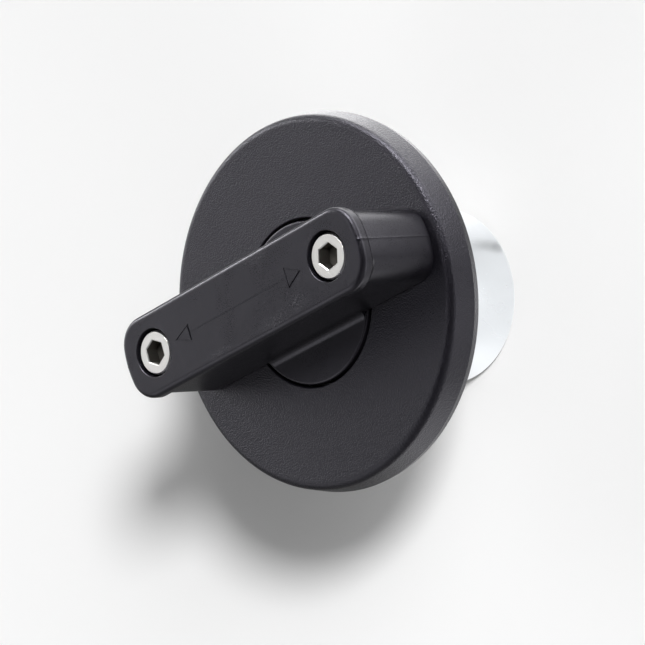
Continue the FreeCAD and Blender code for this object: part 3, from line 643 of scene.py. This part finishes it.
cover = add("cover_moulding", cover_mesh)
drill(cover, (64, [(0, 44.0), (5.2, 44.0), (5.2, 50.0), (0, 50.0)]))
finish(cover, cover_plastic, "cap", "cover_plastic", "cover")

# %% [markdown]
# ## The handle
#
# The handle is moulded in one: a blade with drafted walls, a lip that overhangs along its sides, and a
# round base that sits in the cover's hole. The blade's outline is two straight sides, four corner arcs and
# two slightly crowned ends. The same outline, a little larger or smaller, is stacked from the foot to the
# top, so one grid gives wall, lip and edge rounds. On the ends a fine ridge marks where the two halves of
# the mould met.

# %% Outline of the blade
LIP_HALF_LENGTH, LIP_HALF_WIDTH, CROWN = 38.7, 9.4, 20.0
END_HALF = 2.45
SEAM_HEIGHT, SEAM_FOOT, SEAM_TOP, SEAM_MIDDLE = 0.07, 0.2, 0.07, 0.03
SIDE_POINTS, BEND_POINTS, TIP_POINTS = 15, 15, 9


def blade_outline(half_length, half_width, seam):
    """Closed outline, counterclockwise: corner arcs of radius half_width - END_HALF and end arcs of radius
    CROWN."""
    corner = half_width - END_HALF
    middle = half_length - CROWN
    corner_x = middle + math.sqrt((CROWN - corner) ** 2 - END_HALF ** 2)
    lean = math.atan2(END_HALF, corner_x - middle)
    run = corner_x * np.concatenate([np.linspace(0, 0.97, SIDE_POINTS - 1), [0.992]])
    side = np.stack([run, np.full(len(run), -half_width)], 1)
    bend = np.linspace(-math.pi / 2, -lean, BEND_POINTS)
    bend = np.stack([corner_x + corner * np.cos(bend), -END_HALF + corner * np.sin(bend)], 1)
    tip = np.linspace(-lean, -SEAM_FOOT / CROWN, TIP_POINTS - 1)[1:]
    tip = np.concatenate([tip, np.array([-SEAM_TOP, -SEAM_MIDDLE]) / CROWN])
    rise = np.concatenate([np.zeros(TIP_POINTS - 2), [seam, seam]])
    tip = np.stack([middle + (CROWN + rise) * np.cos(tip), CROWN * np.sin(tip)], 1)
    quarter = np.concatenate([side, bend, tip])
    right = np.concatenate([quarter, (quarter * (1, -1))[::-1]])
    return np.concatenate([right, (right * (-1, 1))[::-1]])


print("points of the outline", len(blade_outline(LIP_HALF_LENGTH, LIP_HALF_WIDTH, SEAM_HEIGHT)))

# %% Rows of the blade, from the foot to the top
FOOT, LIP_FOOT, LIP_EDGE = COVER_FACE + 0.35, 67.9, 68.6
blade_section = rounded([(-1.5, COVER_FACE), (-1.15, FOOT, 0.15), (-1.35, LIP_FOOT, 0.3), (0, LIP_EDGE, 0.4),
                         (0, HANDLE_TOP, 1.3), (-3.0, HANDLE_TOP)], steps=9, closed=False)
side_inset, blade_height = blade_section.T
round_off = np.where(blade_height > LIP_EDGE, side_inset, 0.0)
wall_end = np.interp(blade_height, [COVER_FACE, FOOT, LIP_EDGE], [0.05, 0.40, -0.25]) + round_off
lip_end = np.interp(blade_height, [COVER_FACE, FOOT, LIP_FOOT, LIP_EDGE], [0.05, 0.40, -0.22, 0.0])
lip_end = lip_end + round_off
# The lip is whole along the sides, dies out round the corners and is gone at the ends.
half_lip = np.concatenate([np.ones(SIDE_POINTS), np.linspace(1, 0, BEND_POINTS) ** 0.7, np.zeros(TIP_POINTS)])
half_lip = np.concatenate([half_lip, half_lip[::-1]])
lip_share = np.concatenate([half_lip, half_lip[::-1]])[:, None]
rows = []
for side_by, wall_by, lip_by, z in zip(side_inset, wall_end, lip_end, blade_height):
    plain, lipped = (blade_outline(LIP_HALF_LENGTH + by, LIP_HALF_WIDTH + side_by, SEAM_HEIGHT)
                     for by in (wall_by, lip_by))
    rows.append(at_height(plain * (1 - lip_share) + lipped * lip_share, z))
handle = add("handle_moulding", skin("handle_moulding", np.array(rows)))
print("blade rows", len(rows), "points in a row", len(rows[0]))

# %% [markdown]
# The round base is turned, and two concave fillets run the wall of the blade down into it. They stop at the
# edge of the base, as in the photograph. Base and fillets are joined to the blade, and then the
# counterbores, the holes of the bushes and the pockets under the blade are cut.

# %% Base and fillets of the handle
BASE_TOP, FOOT_WALL, WALL_FILLET, FILLET_REACH = COVER_FACE + 0.45, 8.25, 1.8, 17.7
base_profile = rounded([(0, 44.2), (HANDLE_BASE_RADIUS, 44.2, 0.3), (HANDLE_BASE_RADIUS, BASE_TOP, 0.5),
                        (0, BASE_TOP)], closed=False)
combine(handle, turned("base", base_profile, 192, closed=False), "UNION")
for side in (-1, 1):
    sweep = np.linspace(0, math.pi / 2, 13)
    arc_y = FOOT_WALL + WALL_FILLET * (1 - np.sin(sweep)) - 0.01
    arc_z = BASE_TOP + WALL_FILLET * (1 - np.cos(sweep)) - 0.01
    section_y = side * np.concatenate([arc_y, [6.0, 6.0, arc_y[0]]])
    section_z = np.concatenate([arc_z, [arc_z[-1], 48.0, 48.0]])
    reach = np.sqrt(FILLET_REACH ** 2 - section_y ** 2)
    share = np.linspace(-1, 1, 25)[:, None]
    grid = np.stack([share * reach, section_y + 0 * share, section_z + 0 * share], -1)
    combine(handle, skin("fillet", grid), "UNION")
print("handle with base and fillets, faces", len(handle.data.polygons))

# %% Counterbores and bush holes
drill(handle, (96, [(0, COUNTERBORE_FLOOR), (5.5, COUNTERBORE_FLOOR, 0.2), (5.5, HANDLE_TOP - 0.12, 0.1),
                    (5.84, HANDLE_TOP + 0.3), (0, HANDLE_TOP + 0.3)]),
      (64, [(0, COVER_FACE - 1), (4.5, COVER_FACE - 1), (4.5, COUNTERBORE_FLOOR + 0.5),
            (0, COUNTERBORE_FLOOR + 0.5)]))
print("handle with counterbores, faces", len(handle.data.polygons))


# %% Pockets under the blade and segments in its base
POCKETS, POCKET_REACH, WEB = 4, 21.5, 2.0
POCKET_HALF = (2 * POCKET_REACH - (POCKETS - 1) * WEB) / POCKETS / 2
SEGMENT_RADIUS, SEGMENT_CHORD = 15.6, 8.05


def pocket(middle, half_x, half_y, low, high, taper):
    """Moulded pocket with round corners that narrows by taper towards its top."""
    a = angles(32) + math.pi / 32
    corner = 1.2
    rows = []
    for z, by in ((low, 0.0), (high, taper)):
        x = middle + np.sign(np.cos(a)) * (half_x - by - corner) + corner * np.cos(a)
        y = np.sign(np.sin(a)) * (half_y - by - corner) + corner * np.sin(a)
        rows.append(at_height(np.column_stack([x, y]), z))
    return skin("pocket", np.array(rows))


for index in range(POCKETS):
    middle = -POCKET_REACH + POCKET_HALF + index * (2 * POCKET_HALF + WEB)
    combine(handle, pocket(middle, POCKET_HALF, 5.45, 43.0, 68.4, 0.4))
for side in (-1, 1):
    lean = math.asin(SEGMENT_CHORD / SEGMENT_RADIUS)
    bow = np.linspace(lean, math.pi - lean, 40)
    segment = np.stack([SEGMENT_RADIUS * np.cos(bow), side * SEGMENT_RADIUS * np.sin(bow)], 1)
    combine(handle, upright("segment", segment, 43.0, 47.05))
print("handle with pockets, faces", len(handle.data.polygons))

# %% [markdown]
# A double arrow is engraved along the top, the usual sign for a handle that turns. Its two heads are open
# triangles and a thin, shallower line joins them. Each head is a closed frame of three corners, cut with
# one side heavier than the others, so that the dark of the groove shows unevenly.

# %% Engraved double arrow
ENGRAVED, ABOVE = HANDLE_TOP - 0.22, HANDLE_TOP + 0.2


def arrow_frame(tip, base, half, width, heavy):
    """Triangular frame: the outer triangle and the same triangle drawn in by width, as a ring with a depth.
    The inner one is moved off the side that was cut heavier."""
    outer = np.array([(tip, 0.0), (base, half), (base, -half)])
    sides = np.linalg.norm(np.roll(outer, -1, 0) - np.roll(outer, 1, 0), axis=1)
    incentre = (outer * sides[:, None]).sum(0) / sides.sum()
    inradius = abs(tip - base) * 2 * half / sides.sum()
    inner = incentre + (outer - incentre) * (1 - width / inradius) + heavy
    loops = (outer, ABOVE), (outer, ENGRAVED), (inner, ENGRAVED), (inner, ABOVE)
    return skin("arrow", np.array([at_height(loop, z) for loop, z in loops]), along=True)


combine(handle, arrow_frame(20.8, 16.0, 2.4, 0.28, (-0.1, 0.16)))
combine(handle, arrow_frame(-20.8, -15.8, 2.0, 0.28, (-0.2, 0.0)))
line = np.array([(-15.9, -0.09), (15.9, -0.09), (15.9, 0.09), (-15.9, 0.09)])
combine(handle, upright("line", line, HANDLE_TOP - 0.06, ABOVE))
finish(handle, handle_plastic, "cap", "handle_plastic", "handle", weighted=True)

# %% [markdown]
# ## The screws
#
# A socket head screw is turned, its socket is broached and its thread is rolled. The grid starts at the
# tip, climbs the thread, where the radius follows a helix, goes round the head and then down into the
# socket, where the circle becomes a hexagon. The columns meet the corners of the hexagon, so that its six
# flats stay flat. The faces inside the socket get a dull, dark material of their own: painted shade that
# stands for the dark of the recess.

# %% Build a screw
THREAD_PITCH, THREAD_DEPTH, THREAD_RADIUS = 1.0, 0.52, 3.0
HEAD_RADIUS, KEY_HALF, SOCKET_DEPTH, SOCKET_REACH = 5.0, 2.5, 3.2, 2.88
DRILL_RADIUS, DRILL_DEPTH = 2.4, 1.4
SCREW_COLUMNS = 96


def screw_mesh(name, side, turn):
    """Screw about its own axis: rows of radius and height, with a helix in the thread and a hexagon in the
    socket."""
    a = angles(SCREW_COLUMNS) + math.radians(turn)
    heights = np.arange(SCREW_TIP + 0.5, HEAD_UNDERSIDE - 0.8, THREAD_PITCH / 7)[:, None]
    phase = (a[None, :] / (2 * math.pi) - heights / THREAD_PITCH) % 1
    ridge = np.abs(2 * phase - 1)
    fade = np.clip((HEAD_UNDERSIDE - 1.2 - heights) / 1.5, 0, 1)
    thread = THREAD_RADIUS - THREAD_DEPTH * np.clip(1.25 * ridge - 0.12, 0, 1) * fade
    tip = np.array([(0, SCREW_TIP), (2.1, SCREW_TIP), (2.35, SCREW_TIP + 0.15)])
    head = rounded([(THREAD_RADIUS, HEAD_UNDERSIDE - 0.7), (THREAD_RADIUS, HEAD_UNDERSIDE),
                    (HEAD_RADIUS, HEAD_UNDERSIDE, 0.15), (HEAD_RADIUS, HEAD_TOP - 0.5, 0.2),
                    (4.62, HEAD_TOP, 0.12), (3.25, HEAD_TOP)], steps=5, closed=False)
    flat_angle = (a - math.radians(turn)) % (math.pi / 3) - math.pi / 6
    hexagon = KEY_HALF / np.cos(flat_angle)
    radii = [np.repeat(tip[:, :1], SCREW_COLUMNS, 1), thread, np.repeat(head[:, :1], SCREW_COLUMNS, 1)]
    levels = [np.repeat(tip[:, 1:], SCREW_COLUMNS, 1), np.repeat(heights, SCREW_COLUMNS, 1),
              np.repeat(head[:, 1:], SCREW_COLUMNS, 1)]
    floor_z = HEAD_TOP - SOCKET_DEPTH
    for share, z in ((1.10, HEAD_TOP), (1.08, HEAD_TOP), (1.0, HEAD_TOP - 0.22), (1.0, HEAD_TOP - 0.3),
                     (1.0, floor_z)):
        ring = np.minimum(hexagon * share, 3.1) if share > 1 else hexagon
        radii.append(ring[None, :])
        levels.append(np.full((1, SCREW_COLUMNS), z))
    for r, z in ((DRILL_RADIUS, floor_z), (0.0, floor_z - DRILL_DEPTH)):
        radii.append(np.full((1, SCREW_COLUMNS), r))
        levels.append(np.full((1, SCREW_COLUMNS), z))
    radii, levels = np.concatenate(radii), np.concatenate(levels)
    grid = np.stack([side * SCREW_OFFSET + radii * np.cos(a), radii * np.sin(a), levels], -1)
    return skin(name, grid, caps=False)


def paint_socket(piece, side):
    """Gives the second material, dark painted shade for the recess, to the faces inside the socket, found by
    their distance from the axis and height."""
    piece.data.materials.append(socket_painted_shade)
    centres = np.empty(len(piece.data.polygons) * 3)
    piece.data.polygons.foreach_get("center", centres)
    centres = centres.reshape(-1, 3) / MM - (side * SCREW_OFFSET, 0, 0)
    x, y, z = centres.T
    inside = (np.hypot(x, y) < SOCKET_REACH) & (z > HEAD_UNDERSIDE) & (z < HEAD_TOP - 0.15)
    piece.data.polygons.foreach_set("material_index", inside.astype(np.int32))
    print("faces in the socket", inside.sum())


for name, side, turn, metal in (("left", -1, 27, left_stainless), ("right", 1, 9, right_stainless)):
    screw = place("socket_screw_" + name, screw_mesh("socket_screw_" + name, side, turn), metal, "cap",
                  "screw_steel", "handle_screw_" + name)
    paint_socket(screw, side)

# %% [markdown]
# ## The sleeve
#
# The sleeve is drawn from 1.5 mm sheet: a cup with a flange at its mouth and a raised panel in its closed
# end. Its whole section is one closed profile turned once. The holes for the clinch nuts are cut after.

# %% Turn the sleeve
BORE_RADIUS = SLEEVE_RADIUS - SHEET
sleeve_profile = rounded([
    (9.0, 3.8), (13.6, 3.8, 0.1), (13.6, 0, 1.6), (SLEEVE_RADIUS, 0, 2.0), (SLEEVE_RADIUS, FLANGE_REAR, 1.0),
    (FLANGE_RADIUS, FLANGE_REAR, 0.25), (FLANGE_RADIUS, FLANGE_FACE, 0.25), (BORE_RADIUS, FLANGE_FACE, 2.5),
    (BORE_RADIUS, SHEET, 0.5), (15.1, SHEET, 0.1), (15.1, 5.3, 1.6), (9.0, 5.3)], steps=9)
sleeve = add("sleeve_drawn", turned("sleeve_drawn", sleeve_profile, 224))
drill(sleeve, (64, [(0, 42.0), (3.9, 42.0), (3.9, 46.0), (0, 46.0)]))
finish(sleeve, zinc, "cap", "zinc_steel", "sleeve")

# %% [markdown]
# ## Seal, studs and valve
#
# The neck gasket is a flat rubber ring. The bayonet studs are turned rivets whose collars follow the round
# of the sleeve. The valve is a stack of turned pieces, and each is one profile with its edges broken.

# %% Neck gasket
turn_piece("neck_seal", [(21.75, 40.2, 0.4), (24.65, 40.2, 0.4), (24.65, 43.2, 0.1), (21.75, 43.2, 0.1)],
           160, rubber, "cap", "nitrile_rubber", "neck_gasket")


# %% Bayonet studs
STUD_COLUMNS, STUD_RADIUS, COLLAR_RADIUS = 72, 3.0, 4.1


def stud_mesh(name, side):
    """Stud along Y: rows of (radius, reach); where a row lies on the sleeve its reach follows the round
    wall."""
    a = angles(STUD_COLUMNS)
    tip, collar = SLEEVE_RADIUS + 4.2, SLEEVE_RADIUS + 1.2
    outside = rounded([(COLLAR_RADIUS, collar - 0.9), (COLLAR_RADIUS, collar, 0.2), (STUD_RADIUS, collar),
                       (STUD_RADIUS, tip, 0.5), (0, tip)], closed=False)
    r = np.concatenate([[0.0, 3.6, 3.8, 3.8, STUD_RADIUS, STUD_RADIUS, COLLAR_RADIUS], outside[:, 0]])
    y = np.concatenate([[18.15, 18.15, 18.35, 0, 0, 0, 0], outside[:, 1]])
    r, y = np.repeat(r[:, None], STUD_COLUMNS, 1), np.repeat(y[:, None], STUD_COLUMNS, 1)
    across = r * np.cos(a)
    inner, outer = np.sqrt(BORE_RADIUS ** 2 - across ** 2), np.sqrt(SLEEVE_RADIUS ** 2 - across ** 2)
    y[3:5], y[5:7] = inner[3:5], outer[5:7]
    return skin(name, np.stack([side * across, side * y, STUD_HEIGHT + r * np.sin(a)], -1))


for name, side in (("back", 1), ("front", -1)):
    place("neck_stud_" + name, stud_mesh("neck_stud_" + name, side), zinc, "cap", "zinc_steel",
          "bayonet_stud_" + name)

# %% Valve pieces as turned profiles
turn_piece("valve_body", [(5.2, 0.8, 0.2), (12.0, 0.8, 0.3), (12.0, 2.8, 0.2), (9.0, 2.8), (9.0, 22.0, 0.2),
                          (7.6, 22.0, 0.15), (7.6, 4.8), (6.0, 4.8), (6.0, 5.4, 0.1), (5.2, 5.4, 0.1)],
           144, acetal, "cap", "valve_plastic", "valve_housing")
turn_piece("panel_seal", [(9.0, 2.8), (12.0, 2.8, 0.1), (12.0, 3.8, 0.1), (9.0, 3.8)],
           96, rubber, "cap", "nitrile_rubber", "valve_gasket")
turn_piece("seat_seal", [(4.2, 5.4, 0.1), (6.9, 5.4, 0.1), (6.9, 6.4), (4.2, 6.4)],
           96, rubber, "pressure_valve", "nitrile_rubber", "pressure_seal")
turn_piece("poppet", [(0, 4.6), (3.6, 4.6, 0.25), (3.6, 5.6, 0.1), (0.9, 5.6), (0.9, 13.8, 0.3), (0, 13.8)],
           72, brass, "vacuum_valve", "valve_brass", "vacuum_poppet", closed=False)
turn_piece("poppet_seal", [(0.9, 5.6), (3.5, 5.6, 0.1), (3.5, 6.4, 0.1), (0.9, 6.4)],
           72, rubber, "vacuum_valve", "nitrile_rubber", "vacuum_seal")
turn_piece("stem_clip", [(0.9, 12.6), (3.0, 12.6, 0.1), (3.0, 13.2, 0.1), (0.9, 13.2)],
           72, spring_steel, "vacuum_valve", "spring_steel", "poppet_clip")

# %% [markdown]
# ## Springs and washers
#
# A coil spring is round wire on a helix. Its last turn at each end lies nearly flat, so the pitch eases in
# there and the wire seats on what carries it. The split washers are the same thing with one turn and a
# square wire.

# %% Coil a wire
def coil_mesh(name, mean_radius, wire_radius, low, high, turns, around=12, per_turn=40):
    """Round wire on a helix: the height eases in over the first and last half turn, and the ends are
    capped."""
    t = np.linspace(0, 1, int(turns * per_turn) + 1)
    ease = 0.5 / turns
    raw = np.where(t < ease, t ** 2 / (2 * ease), np.where(t > 1 - ease, 1 - ease - (1 - t) ** 2 / (2 * ease),
                                                            t - ease / 2))
    raw = raw / raw[-1]
    z = low + wire_radius + raw * (high - low - 2 * wire_radius)
    turn = t * turns * 2 * math.pi
    ring = angles(around)
    r = mean_radius + wire_radius * np.cos(ring)[None, :]
    grid = np.stack([r * np.cos(turn)[:, None], r * np.sin(turn)[:, None],
                     z[:, None] + wire_radius * np.sin(ring)[None, :]], -1)
    return skin(name, grid)


pressure_coil = place("pressure_coil", coil_mesh("pressure_coil", 6.0, 0.4, 8.0, 19.0, 4.5), spring_steel,
                      "cap", "spring_steel", "pressure_spring")
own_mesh(pressure_coil)
vacuum_coil = place("vacuum_coil", coil_mesh("vacuum_coil", 2.4, 0.2, 8.0, 12.6, 4.0), spring_steel,
                    "pressure_valve", "spring_steel", "vacuum_spring")
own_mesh(vacuum_coil)


# %% Split washers
WASHER_ROWS, WASHER_MIDDLE = 90, (COUNTERBORE_FLOOR + HEAD_UNDERSIDE) / 2
SPLIT_HALF, SPLIT_LEAN = 9, 0.09


def washer_mesh(name, side):
    """Square wire bent round once; the two ends are slanted and leave a small gap."""
    gap = math.radians(SPLIT_HALF)
    t = np.linspace(gap, 2 * math.pi - gap, WASHER_ROWS)[:, None]
    section = rounded([(3.2, COUNTERBORE_FLOOR, 0.1), (4.9, COUNTERBORE_FLOOR, 0.15),
                       (4.9, HEAD_UNDERSIDE, 0.15), (3.2, HEAD_UNDERSIDE, 0.1)], steps=3)
    lean = (section[None, :, 1] - WASHER_MIDDLE) * SPLIT_LEAN
    grid = np.stack([side * SCREW_OFFSET + section[None, :, 0] * np.cos(t + lean),
                     section[None, :, 0] * np.sin(t + lean),
                     np.repeat(section[None, :, 1], WASHER_ROWS, 0)], -1)
    return skin(name, grid)


for name, side, metal in (("left", -1, left_stainless), ("right", 1, right_stainless)):
    place("split_washer_" + name, washer_mesh("split_washer_" + name, side), metal, "cap", "screw_steel",
          "spring_washer_" + name)

# %% [markdown]
# ## Hidden pieces
#
# The bushes, clinch nuts, tray, filter, nut, spring cap and plate lie inside. Their CAD surfaces are true
# already, so they stay and only get their material.

# %% Materials for the pieces that stay
for name, material in {
    "handle_bush_left": zinc, "handle_bush_right": zinc, "clinch_nut_left": zinc, "clinch_nut_right": zinc,
    "filter_tray": zinc, "dust_filter": foam, "valve_nut": acetal, "spring_cap": acetal,
    "pressure_plate": brass,
}.items():
    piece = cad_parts[name]
    piece.data.materials.clear()
    piece.data.materials.append(material)
    print(name, "keeps its surface, with", material.name)

# %% [markdown]
# ## Table, light and camera
#
# The cap stands on a pale table in a light tent. Black plastic shows little but reflections, so a
# photographer sets up cards and soft boxes that only the gloss can see. Here the table and the walls carry
# soft spots of light for that: a broad pale wall for the face, a row of small bright boxes for the edges,
# and dark places for the side that stays nearly black. A spot fades from its middle to its edge, and one
# helper adds up as many as are needed.

# %% Soft spots
def soft_spots(tree, where, level, spots, measure="DOT_PRODUCT"):
    """Sum of soft spots: each has a centre, the distance or cosine at its edge, the same in its middle, a
    strength."""
    total = level
    for centre, edge, middle, strength in spots:
        near = vector_math(tree, measure, where, centre)
        spot = spread(tree, near.outputs["Value"], edge, middle, 0.0, strength, "SMOOTHSTEP")
        total = math_of(tree, "ADD", spot, total)
    return total


def towards(azimuth, elevation):
    """Direction of an azimuth a and an elevation e: cos e cos a, cos e sin a, sin e."""
    a, e = math.radians(azimuth), math.radians(elevation)
    return math.cos(e) * math.cos(a), math.cos(e) * math.sin(a), math.sin(e)


def wall_spots(spots):
    """Spots on the walls from azimuth, elevation, inner and outer half angle in degrees, and strength."""
    return [(towards(azimuth, elevation), math.cos(math.radians(outer)), math.cos(math.radians(inner)),
             strength) for azimuth, elevation, inner, outer, strength in spots]


print("straight up is", np.round(towards(0, 90), 3))

# %% [markdown]
# The table is a large square of white paper. A camera ray or a diffuse ray sees the paper with the cap's
# shadow. A glossy ray sees the table's spots instead: around the cap for the rim and the sleeve, further
# off for the far edges, and three narrow dark ones close to the foot for the streak along the sleeve.

# %% Table
TABLE_LEVEL = 0.21
# Spots: x, y, inner reach and outer reach in millimetres, and strength.
TABLE_SPOTS = [
    (-25, 100, 0, 110, 3.33), (38, 150, 0, 78, 4.1), (138, 150, 0, 118, 6.0), (200, 125, 0, 170, 3.85),
    (175, 50, 0, 110, 2.38), (175, -100, 0, 110, 4.27), (150, 30, 0, 70, 1.0), (25, -25, 0, 70, 0.44),
    (12, 83, 0, 45, 1.6), (50, -86, 0, 60, 0.8), (0, -100, 0, 70, 1.6), (25, -150, 0, 70, 1.9),
    (0, 0, 52, 70, 0.57), (38, 54, 0, 30, 3.6), (67, 42, 0, 30, 0.8), (60, 74, 0, 32, 1.0),
    (55, -20, 0, 30, 1.6), (16, 17, 0, 14, 0.25), (6, -24, 0, 16, 0.3), (2, -58, 0, 34, -0.4),
    (21.9, 5.9, 0.5, 2.6, -0.38), (23.3, 8.3, 0.5, 3.2, -0.34), (25.2, 11.2, 0.5, 4, -0.28)]
floor_mesh = bpy.data.meshes.new("table")
floor_mesh.from_pydata([(-3, -3, 0), (3, -3, 0), (3, 3, 0), (-3, 3, 0)], [], [(0, 1, 2, 3)])
table = add("table", floor_mesh)
paper, tree, shader = start_material("table paper", Roughness=0.9)
shader.inputs["Base Color"].default_value = colour((0.9, 0.9, 0.9))
shader.inputs["Specular IOR Level"].default_value = 0.0
table_spots = [((x * MM, y * MM, 0), reach * MM, inner * MM, strength)
               for x, y, inner, reach, strength in TABLE_SPOTS]
glow = soft_spots(tree, object_point(tree), TABLE_LEVEL, table_spots, "DISTANCE")
shine = node(tree, "ShaderNodeEmission", {"Color": (1, 1, 1, 1), "Strength": glow})
path = node(tree, "ShaderNodeLightPath")
seen = node(tree, "ShaderNodeMixShader", {0: path.outputs["Is Glossy Ray"], 1: shader.outputs[0],
                                          2: shine.outputs[0]})
tree.links.new(seen.outputs[0], tree.nodes["Material Output"].inputs["Surface"])
table.data.materials.append(paper)
print("table with spots", len(TABLE_SPOTS))

# %% [markdown]
# One large window gives the shadow, to the lower left with a soft edge. A sun lamp with a wide angle does
# that evenly over the table. It isn't seen by glossy rays, or it would draw a hard bright line on every
# round edge.

# %% Window
WINDOW_FROM, WINDOW_ANGLE, WINDOW_STRENGTH = (7.5, 38.5), 11, 3.1
lamp_data = bpy.data.lights.new("window", "SUN")
lamp_data.energy = WINDOW_STRENGTH
lamp_data.angle = math.radians(WINDOW_ANGLE)
lamp = add("window", lamp_data)
lamp.visible_glossy = False
lamp.rotation_euler = Vector(towards(*WINDOW_FROM)).to_track_quat("Z", "Y").to_euler()
print("window from", np.round(towards(*WINDOW_FROM), 3))

# %% [markdown]
# The walls of the tent are the world. LIT is what lights the table and the object, brighter on the window's
# side. MIRRORED is what only the gloss sees: broad dim walls first, then the small bright boxes whose
# reflections run along the edges of the disc and the handle. The camera sees a plain pale wall.

# %% Walls of the light tent
# Spots: azimuth, elevation, inner and outer half angle in degrees, and strength.
LIT = [(15, 32, 0, 22, 4.8), (345, 32, 0, 22, 1.13), (252, 72, 0, 22, 0.37), (300, 12, 0, 22, 3.25),
       (330, 12, 0, 22, 1.51), (135, 32, 0, 22, 1.70), (225, 32, 0, 22, 1.52)]
MIRRORED = [(120, 5, 15, 70, 0.60), (45, 5, 10, 45, 1.47), (165, 30, 0, 27, 0.45), (210, 42, 0, 27, 1.6),
            (120, 70, 0, 27, 1.57), (240, 18, 0, 27, 0.49), (150, 20, 0, 25, 1.7), (133, 17, 2, 10, 17.0),
            (42, 26, 4, 13, 10.0), (62, 25, 3, 11, 38.0), (86, 12, 4, 13, 10.0), (60, 10, 0, 20, 1.2),
            (42, 14, 0, 16, 1.0), (300, 10, 10, 40, 0.43)]
PALE_WALL = 0.91
world = bpy.data.worlds.new("tent")
bpy.context.scene.world = world
world.use_nodes = True
tree = world.node_tree
tree.nodes.clear()
where = node(tree, "ShaderNodeTexCoord")
path = node(tree, "ShaderNodeLightPath")
lit = soft_spots(tree, where.outputs["Generated"], 0.0, wall_spots(LIT))
mirrored = soft_spots(tree, where.outputs["Generated"], 0.0, wall_spots(MIRRORED))
for_gloss = node(tree, "ShaderNodeMix", {2: lit, 3: mirrored, 0: path.outputs["Is Glossy Ray"]})
for_eye = node(tree, "ShaderNodeMix",
               {2: for_gloss.outputs[0], 3: PALE_WALL, 0: path.outputs["Is Camera Ray"]})
tent = node(tree, "ShaderNodeBackground", {"Color": (1, 1, 1, 1), "Strength": for_eye.outputs[0]})
node(tree, "ShaderNodeOutputWorld", {"Surface": tent.outputs[0]})
print("walls with spots", len(LIT), "and for the gloss", len(MIRRORED))

# %% [markdown]
# The camera's place, turn and lens were fitted to the outlines of the disc, its hole, the screw heads and
# the end of the sleeve. Its matrix has the picture's right, its up and the way back to the eye as columns.

# %% Camera
EYE = (0.39140, -0.13941, 0.49298)
RIGHT = (0.67509, -0.28911, -0.67872)
UP = (0.36204, 0.93144, -0.03665)
BACK_TO_EYE = (0.64279, -0.22098, 0.73348)
camera_data = bpy.data.cameras.new("view")
camera_data.sensor_width = 36
camera_data.lens = 152.05
camera_data.clip_start, camera_data.clip_end = 0.05, 20
camera = add("view", camera_data)
camera.matrix_world = Matrix.Translation(EYE) @ Matrix((RIGHT, UP, BACK_TO_EYE)).transposed().to_4x4()
bpy.context.scene.camera = camera
bpy.context.scene.view_settings.view_transform = "Standard"
print("camera at", EYE)
